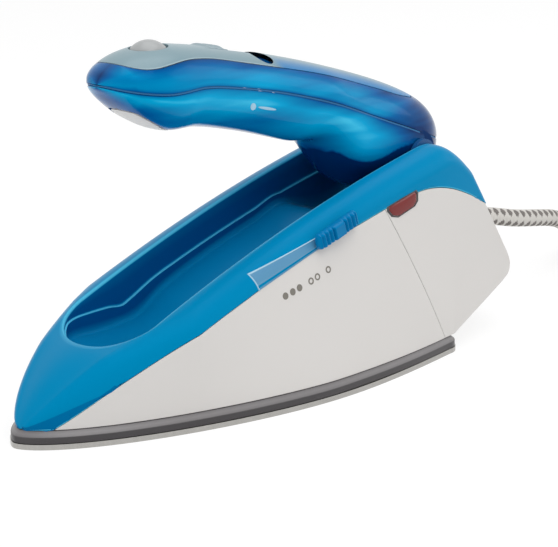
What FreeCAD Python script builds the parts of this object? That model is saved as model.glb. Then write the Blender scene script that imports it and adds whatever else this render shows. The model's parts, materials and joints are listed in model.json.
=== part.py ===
"""A compact folding travel steam iron, modelled as a parametric FreeCAD document.

Frame: millimetres, +X towards the toe, +Y towards the side with the temperature slider,
+Z up. The origin is the middle of the soleplate's ironing face. The handle is unfolded.
"""
import FreeCAD, Part
import math
import os

import Sketcher
from FreeCAD import Placement, Rotation, Vector

DOC = FreeCAD.newDocument("travel_iron")
SHEET = DOC.addObject("Spreadsheet::Sheet", "dims")

# Driving dimensions, in millimetres and degrees: alias, value.
DIMENSIONS = [
    # soleplate, skirt and hull
    ("sole_length", 183.0),
    ("toe_reach", 90.0),
    ("sole_half_width", 41.6),
    ("sole_edge", 1.8),
    ("sole_widest_share", 0.5902),
    ("toe_power", 1.535),
    ("toe_round", 0.612),
    ("tail_narrowing", 0.2013),
    ("tail_corner", 8.0),
    ("steam_hole_radius", 1.5),
    ("skirt_band", 2.3),
    ("skirt_bevel", 2.0),
    ("hull_inset", 2.2),
    ("nose_setback", 2.2),
    ("heel_overhang", 38.0),
    ("heel_height", 23.5),
    ("heel_corner", 5.0),
    ("wall", 2.0),
    # rim and well
    ("rim_height", 53.3),
    ("rim_slope", 0.343),
    ("rim_curve", 0.00081),
    ("shoulder_half_width", 30.5),
    ("shoulder_drop", 9.0),
    ("well_front", 61.5),
    ("well_half_width", 19.6),
    ("well_clearance", 1.5),
    # handle and hinge
    ("hinge_back", 87.0),
    ("hinge_height", 72.0),
    ("fold_angle", 34.0),
    ("handle_half_width", 17.2),
    ("tank_wall", 1.8),
    ("panel_thickness", 2.2),
    ("seal_thickness", 1.0),
    ("insert_thickness", 1.5),
    ("pin_radius", 2.5),
    ("pin_length", 20.0),
    ("pin_seat", 7.0),
    ("washer_radius", 6.0),
    ("ear_boss_radius", 6.0),
    ("running_clearance", 0.05),
    ("barrel_radius", 9.0),
    # steam button and filling flap
    ("button_place", 28.5),
    ("button_radius", 6.2),
    ("button_dome", 3.0),
    ("button_travel", 3.0),
    ("button_clearance", 0.4),
    ("cup_low", 104.5),
    ("cup_height", 13.8),
    ("cup_floor", 2.0),
    ("cup_wall", 1.5),
    ("stem_radius", 2.0),
    ("spring_radius", 3.4),
    ("spring_wire", 0.35),
    ("cover_length", 14.5),
    ("cover_width", 10.0),
    ("cover_thickness", 1.2),
    ("cover_gap", 0.3),
    ("cover_travel", 13.5),
    ("cover_front_x", 9.5),
    ("track_angle", 10.7),
    ("inlet_length", 12.0),
    ("inlet_width", 6.6),
    ("grommet_wall", 1.0),
    # temperature slider and thermostat
    ("slot_length", 50.0),
    ("slot_width", 1.8),
    ("slot_angle", 17.6),
    ("slot_middle_x", -14.5),
    ("slot_middle_z", 50.8),
    ("slider_length", 21.0),
    ("slider_height", 6.0),
    ("slider_lift", 1.9),
    ("slider_proud", 3.1),
    ("slider_standoff", 0.9),
    ("slider_gap", 0.4),
    ("slider_travel", 28.0),
    ("crank_radius", 30.0),
    ("crank_pin_radius", 1.2),
    ("crank_arm_low", 30.0),
    ("crank_arm_height", 2.0),
    ("crank_pin_top", 45.0),
    ("crank_y", -3.2),
    ("fork_gap", 0.5),
    ("spindle_radius", 2.5),
    ("thermostat_radius", 11.0),
    ("thermostat_height", 9.0),
    ("fuse_radius", 2.2),
    ("fuse_length", 12.0),
    ("wire_radius", 0.9),
    ("drip_tube_radius", 2.2),
    ("terminal_length", 14.0),
    ("terminal_width", 22.0),
    ("terminal_height", 9.0),
    ("clamp_length", 9.0),
    ("clamp_width", 24.0),
    ("clamp_height", 3.0),
    ("neon_radius", 2.0),
    ("neon_length", 9.0),
    # heater
    ("base_height", 11.0),
    ("base_inset", 7.5),
    ("element_radius", 3.3),
    ("element_spread", 19.0),
    ("element_bend_x", 52.0),
    ("element_tail_x", -72.0),
    ("chamber_middle_x", 22.0),
    ("chamber_length", 44.0),
    ("chamber_width", 20.0),
    ("chamber_depth", 5.0),
    ("lid_thickness", 1.5),
    # fasteners
    ("screw_head_radius", 3.0),
    ("screw_head_height", 2.0),
    ("screw_shank_radius", 1.4),
    ("screw_length", 7.0),
    ("driver_slot", 0.8),
    # lead and plug
    ("cord_radius", 3.5),
    ("cord_height", 40.0),
    ("cord_droop", 0.13),
    ("relief_length", 20.0),
    ("relief_radius", 6.0),
    ("coil_inner_radius", 28.8),
    ("coil_outer_radius", 49.8),
    ("coil_height", 19.2),
    ("plug_length", 30.0),
    ("plug_width", 22.0),
    ("plug_thickness", 15.0),
    ("blade_length", 16.0),
    ("blade_width", 6.3),
    ("blade_thickness", 1.5),
    ("blade_spacing", 12.7),
]


def fill_sheet():
    """Write every driving dimension into the sheet as plain text with its alias."""
    for row, (alias, value) in enumerate(DIMENSIONS, start=1):
        SHEET.set("A%d" % row, alias)
        SHEET.set("B%d" % row, repr(value))
        SHEET.setAlias("B%d" % row, alias)
    DOC.recompute()


def dim(alias):
    """Read one driving dimension back from the sheet."""
    return float(getattr(SHEET, alias))


fill_sheet()

PARTS = []


def keep(obj, label):
    """Give a finished sub-part its label, which also names its file."""
    obj.Label = label
    PARTS.append(obj)
    return obj


def keep_shape(label, shape):
    """Add a free-form sub-part whose shape was made with Part's own functions."""
    obj = DOC.addObject("Part::Feature", label)
    obj.Shape = shape
    obj.Placement = shape.Placement
    return keep(obj, label)


def bind(obj, **sizes):
    """Tie properties of an object to expressions on the sheet."""
    for name, expression in sizes.items():
        obj.setExpression(name, expression)
    return obj


def place(obj, position, rotation=None):
    """Put an object at a point, turned by a rotation."""
    obj.Placement = Placement(Vector(*position), rotation or Rotation())
    return obj


# ---------------------------------------------------------------------------------------
# Outlines and profiles
# ---------------------------------------------------------------------------------------

FRONT = dim("toe_reach")
TAIL = FRONT - dim("sole_length")
SKIRT_TOP = dim("sole_edge") + dim("skirt_band") + dim("skirt_bevel")
HINGE = Vector(-dim("hinge_back"), 0, dim("hinge_height"))
NOSE = FRONT - dim("nose_setback")
HEEL = TAIL - dim("heel_overhang")
WALL = dim("wall")
REACH = 80.0


def sole_half_width(x, inset=0.0, front=FRONT):
    """Half-width of the sole at station x: a power curve from the toe, then a parabola."""
    share = (front - x) / dim("sole_length")
    widest = dim("sole_widest_share")
    half = dim("sole_half_width") - inset
    if share <= 0:
        return 0.0
    if share < widest:
        rise = 1 - (1 - share / widest) ** dim("toe_power")
        return half * rise ** dim("toe_round")
    fall = ((share - widest) / (1 - widest)) ** 2
    return half * (1 - dim("tail_narrowing") * fall)


def spline(points):
    """Edge of a smooth curve through points."""
    curve = Part.BSplineCurve()
    curve.interpolate(Points=points)
    return curve.toShape()


def plan_wire(z, inset):
    """Closed outline of the sole at height z, drawn in by inset all round."""
    front = FRONT - inset
    tail = TAIL + inset
    corner = dim("tail_corner")
    shares = (0.004, 0.015, 0.04, 0.09, 0.17, 0.28, 0.42, 0.6, 0.78)
    stations = [front - share * (front - tail) for share in shares] + [tail + corner]
    side = [Vector(x, sole_half_width(x, inset, front), z) for x in stations]
    other_side = [Vector(p.x, -p.y, z) for p in side]
    sweep = spline(side[::-1] + [Vector(front, 0, z)] + other_side)
    half = side[-1].y
    bow = corner * (1 - math.sqrt(0.5))
    middle = Vector(tail + bow, half - bow, z)
    corner_arc = Part.Arc(side[-1], middle, Vector(tail, half - corner, z)).toShape()
    other_arc = corner_arc.mirror(Vector(0, 0, 0), Vector(0, 1, 0))
    back = Part.makeLine(Vector(tail, half - corner, z), Vector(tail, corner - half, z))
    return Part.Wire(Part.__sortEdges__([sweep, corner_arc, back, other_arc]))


def plan_slab(z, height, inset):
    """Solid slab between the sole's outline at z and at z plus height."""
    return Part.Face(plan_wire(z, inset)).extrude(Vector(0, 0, height))


def side_prism(edges):
    """Solid that sweeps a closed side profile right across the object."""
    face = Part.Face(Part.Wire(edges))
    return face.extrude(Vector(0, 2 * REACH, 0))


def side_point(point):
    """Turn a side-view pair (x, z) into a point on the prism's starting plane."""
    return Vector(point[0], -REACH, point[1])


def side_line(points):
    """Edges of straight runs through side-view pairs."""
    ends = [side_point(p) for p in points]
    return [Part.makeLine(a, b) for a, b in zip(ends, ends[1:])]


def side_curve(points):
    """Edge of a smooth curve through side-view pairs."""
    return spline([side_point(p) for p in points])


def box(x0, x1, y0, y1, z0, z1):
    """Plain solid box between two corners."""
    return Part.makeBox(x1 - x0, y1 - y0, z1 - z0, Vector(x0, y0, z0))


def cylinder(start, end, radius):
    """Solid cylinder from one point to another."""
    start = Vector(*start)
    axis = Vector(*end) - start
    return Part.makeCylinder(radius, axis.Length, start, axis)


# ---------------------------------------------------------------------------------------
# Hull: the outer surface shared by the upper shell, lower housing and rear cover
# ---------------------------------------------------------------------------------------

def rim_z(x):
    """Height of the shell's rim at station x."""
    return dim("rim_height") - dim("rim_slope") * x - dim("rim_curve") * x * x


def nose_z(x):
    """Height of the nose's ridge ahead of the well, falling steeply to the tip."""
    start = dim("well_front") + 1.5
    if x <= start:
        return rim_z(x)
    share = min((x - start) / (NOSE - start), 1.0)
    top = rim_z(start) - SKIRT_TOP
    return SKIRT_TOP + top * (1 - share ** 1.1) ** 0.75


TAIL_ROUNDING = 3.0     # stretch before the sole's tail where its outline turns inward
REAR_TAPER = 0.13       # half-width the hull loses for each millimetre behind the sole


def base_half(x, inset=0.0):
    """Half-width of the hull at its lower edge; behind the sole it tapers gently."""
    start = TAIL + TAIL_ROUNDING
    behind = max(start - x, 0.0)
    half = sole_half_width(max(x, start), dim("hull_inset"), NOSE) - REAR_TAPER * behind
    return max(half - inset, 0.6)


def shoulder_half(x, inset=0.0):
    """Half-width of the hull where its side turns into the rim."""
    base = base_half(x, inset)
    limit = dim("shoulder_half_width") - inset
    narrow = max(0.0, (-x - 75) / 56)
    return min(base + 0.5, limit * (1 - 0.15 * narrow ** 2))


def hull_section(x, inset):
    """Closed cross-section of the hull at station x, drawn in by inset."""
    low = SKIRT_TOP
    top = nose_z(x) - inset
    base = base_half(x, inset)
    side = shoulder_half(x, inset)
    drop = min(dim("shoulder_drop"), 0.45 * (top - low))
    crown = min(dim("well_half_width") + 0.6, 0.72 * side)
    corner = Vector(x, base, low)
    waist = Vector(x, side, top - drop)
    ridge = Vector(x, crown, top)
    lean = math.sqrt(0.5)
    bend = Vector(x, crown + (side - crown) * lean, top - drop + drop * lean)
    half = [
        Part.makeLine(corner, waist),
        Part.Arc(waist, bend, ridge).toShape(),
    ]
    other = [edge.mirror(Vector(0, 0, 0), Vector(0, 1, 0)) for edge in half]
    across = Part.makeLine(ridge, Vector(x, -crown, top))
    floor = Part.makeLine(corner, Vector(x, -base, low))
    return Part.Wire(Part.__sortEdges__(half + [across, floor] + other))


def hull_loft(inset):
    """Smooth solid through the hull's cross-sections, from the nose past the heel."""
    shares = (0.0, 0.02, 0.06, 0.12, 0.2, 0.32, 0.5, 0.72, 1.0)
    start = NOSE - 1.2 * inset
    stations = [start - 0.4 - (NOSE - 15) * share for share in shares]
    stations += [-25.0, -55.0, -80.0, -105.0, HEEL - 3]
    return Part.makeLoft([hull_section(x, inset) for x in stations], True, False)


def heel_profile(inset):
    """Side prism that trims the hull's rear: ears, heel corner and sloping underside."""
    ear = -dim("hinge_back")
    heel_z = dim("heel_height")
    back = HEEL + inset
    shift = inset * 1.3
    corner = dim("heel_corner")
    upper = [
        (ear + 12, rim_z(ear + 12) + 20),
        (ear + 6 + inset, rim_z(ear + 6) - inset + 6),
    ]
    arch = [
        (ear + 6 + inset, rim_z(ear + 6) - inset + 6),
        (ear + 4, rim_z(ear + 4) + 0.6 - inset),
        (ear - 4 + inset * 0.5, rim_z(ear) - 1.0 - inset),
        (ear - 11 + inset, rim_z(ear) - 6.0 - inset),
        (ear - 17 + shift, rim_z(ear) - 12.0),
    ]
    face = [arch[-1], (back + 1.0, heel_z + corner)]
    turn = [face[-1], (back, heel_z), (back + 2.0 + inset, heel_z - 3.5 + inset)]
    under = [turn[-1], (TAIL + shift, SKIRT_TOP), (TAIL + shift, SKIRT_TOP - 10)]
    outside = [under[-1], (FRONT + 20, SKIRT_TOP - 10), (FRONT + 20, upper[0][1]), upper[0]]
    edges = side_line(upper) + [side_curve(arch)] + side_line(face)
    edges += [side_curve(turn)] + side_line(under) + side_line(outside)
    return side_prism(edges)


def seam_points():
    """Side-view curve that parts the blue upper shell from the white housing."""
    return [
        (NOSE - 4, SKIRT_TOP - 2),
        (66, 17.0),
        (53, 24.5),
        (12, 41.0),
        (-19.5, 51.0),
        (-43, 56.8),
        (-64, 61.4),
        (-76, 62.9),
        (-88, 61.3),
        (-101, 56.6),
        (-112, 51.2),
        (HEEL - 6, 45.0),
    ]


def above_seam():
    """Prism of everything above the seam."""
    points = seam_points()
    top = 130.0
    corners = [points[-1], (points[-1][0], top), (FRONT + 20, top), (FRONT + 20, points[0][1]), points[0]]
    return side_prism([side_curve(points)] + side_line(corners))


def cover_edge(z):
    """Station of the seam between the lower housing and the rear cover at height z."""
    return -54.0 - (58.4 - z) * 0.563


def behind_cover_seam():
    """Prism of everything behind the rear cover's seam."""
    low, high = -10.0, 130.0
    rear = HEEL - 20
    corners = [(cover_edge(low), low), (cover_edge(high), high), (rear, high), (rear, low)]
    return side_prism(side_line(corners + corners[:1]))


# ---------------------------------------------------------------------------------------
# Handle: superellipse sections along the grip
# ---------------------------------------------------------------------------------------

HANDLE_TOP = [
    (51, 113.6), (48.5, 117.0), (43, 120.3), (35, 122.8), (27, 123.8), (14, 122.4), (-6, 118.8),
    (-32, 112.9), (-60, 105.2), (-80, 98.6), (-92, 93.6), (-100, 89.0), (-106, 82.8), (-109.5, 75.0),
]
HANDLE_BOTTOM = [
    (51, 112.0), (48.5, 109.8), (43, 104.8), (35, 99.2), (27, 95.6), (14, 94.9), (-6, 90.8),
    (-32, 83.4), (-48, 78.6), (-54, 71.0), (-59, 65.2), (-65, 61.6), (-76, 59.4), (-90, 59.0),
    (-100, 62.0), (-106, 66.8), (-109.5, 73.0),
]
HANDLE_HALF = [
    (51, 2.0), (48.5, 8.0), (43, 13.2), (35, 16.5), (27, 17.2), (14, 16.6), (-6, 15.8), (-32, 16.2),
    (-60, 17.0), (-85, 17.2), (-95, 15.6), (-103, 11.4), (-108, 6.0), (-109.5, 2.5),
]


def along(table, x):
    """Value of a profile at station x, by straight runs between its points."""
    rows = sorted(table)
    if x <= rows[0][0]:
        return rows[0][1]
    for (x0, v0), (x1, v1) in zip(rows, rows[1:]):
        if x <= x1:
            return v0 + (v1 - v0) * (x - x0) / (x1 - x0)
    return rows[-1][1]


def handle_section(x, inset):
    """Closed superellipse across the handle at station x, drawn in by inset."""
    top = along(HANDLE_TOP, x) - inset
    bottom = along(HANDLE_BOTTOM, x) + inset
    half = along(HANDLE_HALF, x) * dim("handle_half_width") / 17.2 - inset
    middle = (top + bottom) / 2
    rise = (top - bottom) / 2
    count = 16
    points = []
    for i in range(count):
        angle = 2 * math.pi * i / count
        c, s = math.cos(angle), math.sin(angle)
        y = half * math.copysign(abs(c) ** 0.86, c)
        z = middle + rise * math.copysign(abs(s) ** 0.86, s)
        points.append(Vector(x, y, z))
    curve = Part.BSplineCurve()
    curve.interpolate(Points=points, PeriodicFlag=True)
    return Part.Wire([curve.toShape()])


def handle_loft(inset, front, rear):
    """Smooth solid through the handle's sections between two stations."""
    grid = [48.5, 43, 35, 27, 14, -6, -32, -48, -54, -59, -65, -76, -90, -100, -106]
    stations = [front] + [x for x in grid if rear + 2 < x < front - 2] + [rear]
    return Part.makeLoft([handle_section(x, inset) for x in stations], True, False)


def folded(point):
    """Side-view place that a handle point reaches when the handle is folded down."""
    angle = -math.radians(dim("fold_angle"))
    dx = point[0] - HINGE.x
    dz = point[1] - HINGE.z
    return (
        HINGE.x + dx * math.cos(angle) - dz * math.sin(angle),
        HINGE.z + dx * math.sin(angle) + dz * math.cos(angle),
    )


# ---------------------------------------------------------------------------------------
# Well for the folded handle
# ---------------------------------------------------------------------------------------

def well_profile(margin):
    """Side prism of the well: its floor follows the underside of the folded handle."""
    gap = dim("well_clearance") + margin
    front = dim("well_front") + margin
    floor = [folded(p) for p in HANDLE_BOTTOM if p[0] >= -76]
    lowest = min(floor, key=lambda point: point[1])
    floor = [(x, z - gap) for x, z in floor if x <= lowest[0]]
    floor = [(front, floor[0][1])] + floor
    rear = [(x, z - gap) for x, z in HANDLE_BOTTOM if -105 < x < -85]
    exit_point = (HEEL - 10, rear[-1][1] + 4)
    high = 125.0
    line = [floor[-1]] + rear + [exit_point, (exit_point[0], high), (front, high), floor[0]]
    return side_prism([side_curve(floor)] + side_line(line))


def well_plan(margin):
    """Upright prism of the well's plan: straight sides and a rounded front end."""
    half = dim("well_half_width") + margin
    nose = 17.0 + margin
    middle = dim("well_front") + margin - nose
    ellipse = Part.Ellipse(Vector(middle, half, 0), Vector(middle + nose, 0, 0), Vector(middle, 0, 0))
    disc = Part.Face(Part.Wire(ellipse.toShape())).extrude(Vector(0, 0, 140))
    return disc.fuse(box(HEEL - 20, middle, -half, half, 0, 140)).removeSplitter()


def well_space(margin=0.0):
    """The well as a solid, grown by a margin for its walls."""
    return well_profile(margin).common(well_plan(margin))


# ---------------------------------------------------------------------------------------
# Slider slot frame
# ---------------------------------------------------------------------------------------

SLOT_ANGLE = math.radians(dim("slot_angle"))
SLOT_MIDDLE = Vector(dim("slot_middle_x"), 0, dim("slot_middle_z"))
SLOT_ALONG = Vector(math.cos(SLOT_ANGLE), 0, -math.sin(SLOT_ANGLE))
SLIDER_REST = SLOT_MIDDLE - SLOT_ALONG * (dim("slider_travel") / 2)


def slot_box(length, height, y0, y1, middle, lift=0.0):
    """Box in line with the slider's slot, between two planes across the object."""
    shape = box(-length / 2, length / 2, y0, y1, lift - height / 2, lift + height / 2)
    shape.Placement = Placement(middle, Rotation(Vector(0, 1, 0), dim("slot_angle")))
    return shape


# ---------------------------------------------------------------------------------------
# Soleplate and heater
# ---------------------------------------------------------------------------------------

def chamber_start():
    """Station of the steam chamber's rear wall."""
    return dim("chamber_middle_x") - dim("chamber_length") / 2


def steam_holes():
    """Upright cylinders for the steam holes, in three rows under the chamber."""
    holes = []
    rows = (-0.36, 0.0, 0.36)
    for row in rows:
        for step in range(5):
            x = chamber_start() + dim("chamber_length") * (0.12 + 0.19 * step)
            y = row * dim("chamber_width")
            holes.append(cylinder((x, y, -1), (x, y, dim("base_height")), dim("steam_hole_radius")))
    return Part.makeCompound(holes)


def element_shape():
    """Tubular element: a half ring at the toe, two legs and two upright ends."""
    radius = dim("element_radius")
    spread = dim("element_spread")
    centre = dim("element_bend_x") - spread
    z = dim("sole_edge") + 4.4
    ring = Part.makeTorus(spread, radius, Vector(centre, 0, z))
    ring = ring.common(box(centre, centre + 60, -60, 60, -10, 40))
    tail = dim("element_tail_x")
    pieces = []
    for side in (-1, 1):
        y = side * spread
        pieces.append(cylinder((tail, y, z), (centre, y, z), radius))
        pieces.append(Part.makeSphere(radius, Vector(tail, y, z)))
        pieces.append(cylinder((tail, y, z), (tail, y, dim("base_height") + 9), radius * 0.6))
    return ring.multiFuse(pieces)


def chamber_box():
    """The steam chamber's hollow in the heated base."""
    x0 = chamber_start()
    half = dim("chamber_width") / 2
    top = dim("base_height")
    return box(x0, x0 + dim("chamber_length"), -half, half, top - dim("chamber_depth"), top + 1)


BASE_SCREWS = [(62.0, 0.0), (-80.0, 10.0), (-80.0, -10.0)]


def screw_group(label, heads, lengths=None):
    """Identical screws in one node: each has a round head, a driver slot and a shank."""
    screws = []
    for index, (point, direction) in enumerate(heads):
        axis = Vector(*direction)
        turn = Rotation(Vector(0, 0, 1), axis)
        name = "%s_%d" % (label, index)
        head = DOC.addObject("Part::Cylinder", name + "_head")
        bind(head, Radius="dims.screw_head_radius", Height="dims.screw_head_height")
        shank = DOC.addObject("Part::Cylinder", name + "_shank")
        bind(shank, Radius="dims.screw_shank_radius", Height="dims.screw_length")
        start = Vector(*point)
        head.Placement = Placement(start, turn)
        shank.Placement = Placement(start - axis * dim("screw_length"), turn)
        slot = DOC.addObject("Part::Box", name + "_slot")
        bind(slot, Length="dims.screw_head_radius * 3", Width="dims.driver_slot",
             Height="dims.screw_head_height")
        corner = Vector(-dim("screw_head_radius") * 1.5, -dim("driver_slot") / 2, 1.2)
        slot.Placement = Placement(start + turn.multVec(corner), turn)
        whole = DOC.addObject("Part::MultiFuse", name + "_whole")
        whole.Shapes = [head, shank]
        cut = DOC.addObject("Part::Cut", name)
        cut.Base = whole
        cut.Tool = slot
        screws.append(cut)
    group = DOC.addObject("Part::Compound", label)
    group.Links = screws
    return keep(group, label)


def build_soleplate():
    """Thin ironing plate with its steam holes."""
    plate = plan_slab(0, dim("sole_edge"), 0)
    keep_shape("soleplate", plate.cut(steam_holes()))


def build_heated_base():
    """Cast base that holds the element and the steam chamber."""
    low = dim("sole_edge")
    base = plan_slab(low, dim("base_height") - low, dim("base_inset"))
    base = base.cut(chamber_box()).cut(steam_holes()).cut(element_shape())
    for x, y in BASE_SCREWS:
        base = base.cut(cylinder((x, y, low + 2), (x, y, 40), dim("screw_shank_radius")))
    keep_shape("heated_base", base)
    keep_shape("heating_element", element_shape())


def build_chamber_lid():
    """Pressed lid over the steam chamber, with the hole that the drip tube feeds."""
    body = DOC.addObject("PartDesign::Body", "chamber_lid")
    sketch = sketch_on(body, "XY_Plane")
    add_rectangle(sketch, "dims.chamber_length + 6", "dims.chamber_width + 6")
    add_circle(sketch, 0, 0, "dims.drip_tube_radius + 0.05")
    pad(body, sketch, "dims.lid_thickness")
    place(body, (dim("chamber_middle_x"), 0, dim("base_height")))
    keep(body, "steam_chamber_lid")


def build_skirt():
    """Dark heat shield round the sole: an upright band with a bevel above it."""
    low = dim("sole_edge")
    band = plan_slab(low, dim("skirt_band"), 0.3)
    bevel = Part.makeLoft([
        plan_wire(low + dim("skirt_band"), 0.3),
        plan_wire(SKIRT_TOP, 0.3 + dim("skirt_bevel") * 1.1),
    ], True, True)
    inner = plan_slab(low - 1, SKIRT_TOP + 2, dim("base_inset") - 0.5)
    keep_shape("heat_skirt", band.fuse(bevel).removeSplitter().cut(inner))


# ---------------------------------------------------------------------------------------
# PartDesign helpers
# ---------------------------------------------------------------------------------------

def origin_plane(body, role):
    """One of a body's own origin planes."""
    return next(f for f in body.Origin.OriginFeatures if f.Role == role)


def sketch_on(body, role):
    """New sketch on one of the body's origin planes."""
    sketch = body.newObject("Sketcher::SketchObject", body.Name + "_sketch")
    sketch.AttachmentSupport = [(origin_plane(body, role), "")]
    sketch.MapMode = "FlatFace"
    return sketch


def constrain(sketch, expression, guess, *settings):
    """Add one dimension to a sketch, starting from a guess, and tie it to the sheet."""
    index = sketch.addConstraint(Sketcher.Constraint(*settings, guess))
    sketch.setExpression("Constraints[%d]" % index, expression)


def add_rectangle(sketch, length, width):
    """Rectangle centred on the sketch's origin."""
    a = 5.0
    corners = [Vector(-a, -a, 0), Vector(a, -a, 0), Vector(a, a, 0), Vector(-a, a, 0)]
    first = sketch.GeometryCount
    for start, end in zip(corners, corners[1:] + corners[:1]):
        sketch.addGeometry(Part.LineSegment(start, end))
    for i in range(4):
        sketch.addConstraint(Sketcher.Constraint("Coincident", first + i, 2, first + (i + 1) % 4, 1))
    for i in (0, 2):
        sketch.addConstraint(Sketcher.Constraint("Horizontal", first + i))
        sketch.addConstraint(Sketcher.Constraint("Vertical", first + i + 1))
    sketch.addConstraint(Sketcher.Constraint("Symmetric", first, 1, first + 1, 2, -1, 1))
    constrain(sketch, length, 2 * a, "DistanceX", first, 1, first, 2)
    constrain(sketch, width, 2 * a, "DistanceY", first + 1, 1, first + 1, 2)


def add_circle(sketch, x, y, radius):
    """Circle at a fixed place in the sketch."""
    index = sketch.addGeometry(Part.Circle(Vector(x, y, 0), Vector(0, 0, 1), 2.0))
    sketch.addConstraint(Sketcher.Constraint("DistanceX", -1, 1, index, 3, x))
    sketch.addConstraint(Sketcher.Constraint("DistanceY", -1, 1, index, 3, y))
    constrain(sketch, radius, 2.0, "Radius", index)


def pad(body, sketch, length):
    """Pad a sketch by a length from the sheet."""
    feature = body.newObject("PartDesign::Pad", body.Name + "_pad")
    feature.Profile = sketch
    feature.setExpression("Length", length)
    body.Tip = feature
    DOC.recompute()
    return feature


# ---------------------------------------------------------------------------------------
# Shells
# ---------------------------------------------------------------------------------------

def rounded_path(points):
    """Wire of straight runs joined by arcs as large as their runs allow."""
    points = [Vector(*p) for p in points]
    edges = []
    radii = []
    start = points[0]
    for before, here, after in zip(points, points[1:], points[2:]):
        back = before - here
        ahead = after - here
        turn = math.pi - back.getAngle(ahead)
        reach = 0.45 * min(back.Length, ahead.Length)
        radii.append(round(reach / math.tan(turn / 2), 1))
        back.normalize()
        ahead.normalize()
        first = here + back * reach
        last = here + ahead * reach
        bisector = (back + ahead).normalize()
        radius = reach / math.tan(turn / 2)
        centre = here + bisector * (radius / math.cos(turn / 2))
        middle = centre - bisector * radius
        edges.append(Part.makeLine(start, first))
        edges.append(Part.Arc(first, middle, last).toShape())
        start = last
    edges.append(Part.makeLine(start, points[-1]))
    return Part.Wire(edges), radii


def tube(points, radius):
    """Solid round tube along a rounded path; prints its bend radii and checks its volume."""
    path, radii = rounded_path(points)
    direction = Vector(*points[1]) - Vector(*points[0])
    ring = Part.Wire(Part.makeCircle(radius, Vector(*points[0]), direction))
    solid = path.makePipeShell([ring], True, False)
    expected = math.pi * radius ** 2 * path.Length
    print("tube radii", radii, "length %.1f" % path.Length, "volume ratio %.4f" % (solid.Volume / expected))
    return solid


def hull_outer():
    """The hull's whole outer solid, trimmed at the rear."""
    return hull_loft(0.0).common(heel_profile(0.0))


def hull_inner():
    """The space inside the hull's walls, open below."""
    return hull_loft(WALL).common(heel_profile(WALL))


def ear_bosses(outer):
    """Solid bosses between the well's wall and the ears' outer wall, round the hinge pins."""
    inner = dim("well_half_width")
    radius = dim("ear_boss_radius")
    bosses = []
    for side in (-1, 1):
        start = (HINGE.x, side * (inner + 0.5), HINGE.z)
        bosses.append(cylinder(start, (HINGE.x, side * 40, HINGE.z), radius).common(outer))
    return bosses


def pin_holes(radius):
    """Bores on the hinge axis for both pins."""
    holes = []
    for side in (-1, 1):
        start = dim("pin_seat") * side
        end = (dim("pin_seat") + dim("pin_length")) * side
        holes.append(cylinder((HINGE.x, start, HINGE.z), (HINGE.x, end, HINGE.z), radius))
    return holes


SLOT_INNER_FACE = 22.4  # the slot's cut starts here, inside the well's wall
SLOT_OUTER_FACE = 45.0  # and ends here, outside the hull
ROOM = 0.4              # room between inner pieces that pass each other


def slot_cutter():
    """Through cut in the shell's side for the slider's neck."""
    return slot_box(
        dim("slot_length"), dim("slot_width"), SLOT_INNER_FACE, SLOT_OUTER_FACE, SLOT_MIDDLE)


LENS_CORNERS = [
    (-55.8, 60.0), (-69.4, 63.0), (-69.8, 59.6), (-68.4, 58.3), (-60.2, 55.9), (-57.0, 57.2),
]
LENS_SIDE = (-90, -40, 5, 60, 40, 80)    # box that keeps the lens to the slider's side


def lens_outline():
    """Side prism of the pilot lens: top edge under the seam, lower corners rounded off."""
    return side_prism(side_line(LENS_CORNERS + LENS_CORNERS[:1])).common(box(*LENS_SIDE))


BRIDGE_HALF = 4         # half-length of the front cross member
BRIDGE_REACH = 60       # cross members start beyond the walls and are trimmed to them
REAR_BRIDGE_X = -50
REAR_BRIDGE_LOW = 26


def housing_bridges():
    """Cross members that join the two sides of the lower housing above the heated base."""
    low = dim("base_height") + dim("lid_thickness") + ROOM
    front_x = BASE_SCREWS[0][0]
    return [
        box(front_x - BRIDGE_HALF, front_x + BRIDGE_HALF, -BRIDGE_REACH, BRIDGE_REACH, low, low + WALL),
        box(REAR_BRIDGE_X - 3, REAR_BRIDGE_X + 3, -BRIDGE_REACH, BRIDGE_REACH,
            REAR_BRIDGE_LOW, REAR_BRIDGE_LOW + WALL),
    ]


def cord_exit():
    """Middle of the strain relief's wide end, just inside the rear wall."""
    return Vector(HEEL + 13, 0, dim("cord_height"))


def cord_direction():
    """Direction in which the strain relief points: backwards and a little down."""
    return Vector(-1, 0, -dim("cord_droop")).normalize()


def build_shells():
    """Upper shell with its well and ears, lower housing, rear cover and pilot lens."""
    relief = build_strain_relief()
    outer = hull_outer()
    inner = hull_inner()
    blue_side = above_seam()
    rear_side = behind_cover_seam()
    walls = outer.cut(inner)
    well_wall = well_space(WALL).common(outer)
    lens = lens_outline().common(walls)

    shell = walls.common(blue_side).fuse([well_wall] + ear_bosses(outer))
    shell = shell.cut(well_space()).cut(slot_cutter()).cut(lens_outline())
    for hole in pin_holes(dim("pin_radius")):
        shell = shell.cut(hole)
    keep_shape("upper_shell", largest(shell))

    white = walls.cut(blue_side).cut(well_wall)
    bridges = [piece.common(inner) for piece in housing_bridges()]
    housing = white.cut(rear_side).cut(slot_cutter()).multiFuse(bridges)
    for x, y in BASE_SCREWS[:1]:
        housing = housing.cut(cylinder((x, y, 0), (x, y, 40), dim("screw_shank_radius")))
    keep_shape("lower_housing", largest(housing))

    cover = white.common(rear_side).cut(lens_outline()).cut(relief.Shape)
    keep_shape("rear_cover", largest(cover))
    keep_shape("pilot_lens", largest(lens.cut(well_wall)))


def largest(shape):
    """The biggest solid of a shape, leaving out slivers cut loose by a boolean."""
    return max(shape.Solids, key=lambda solid: solid.Volume)


# ---------------------------------------------------------------------------------------
# Handle pieces
# ---------------------------------------------------------------------------------------

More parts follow.
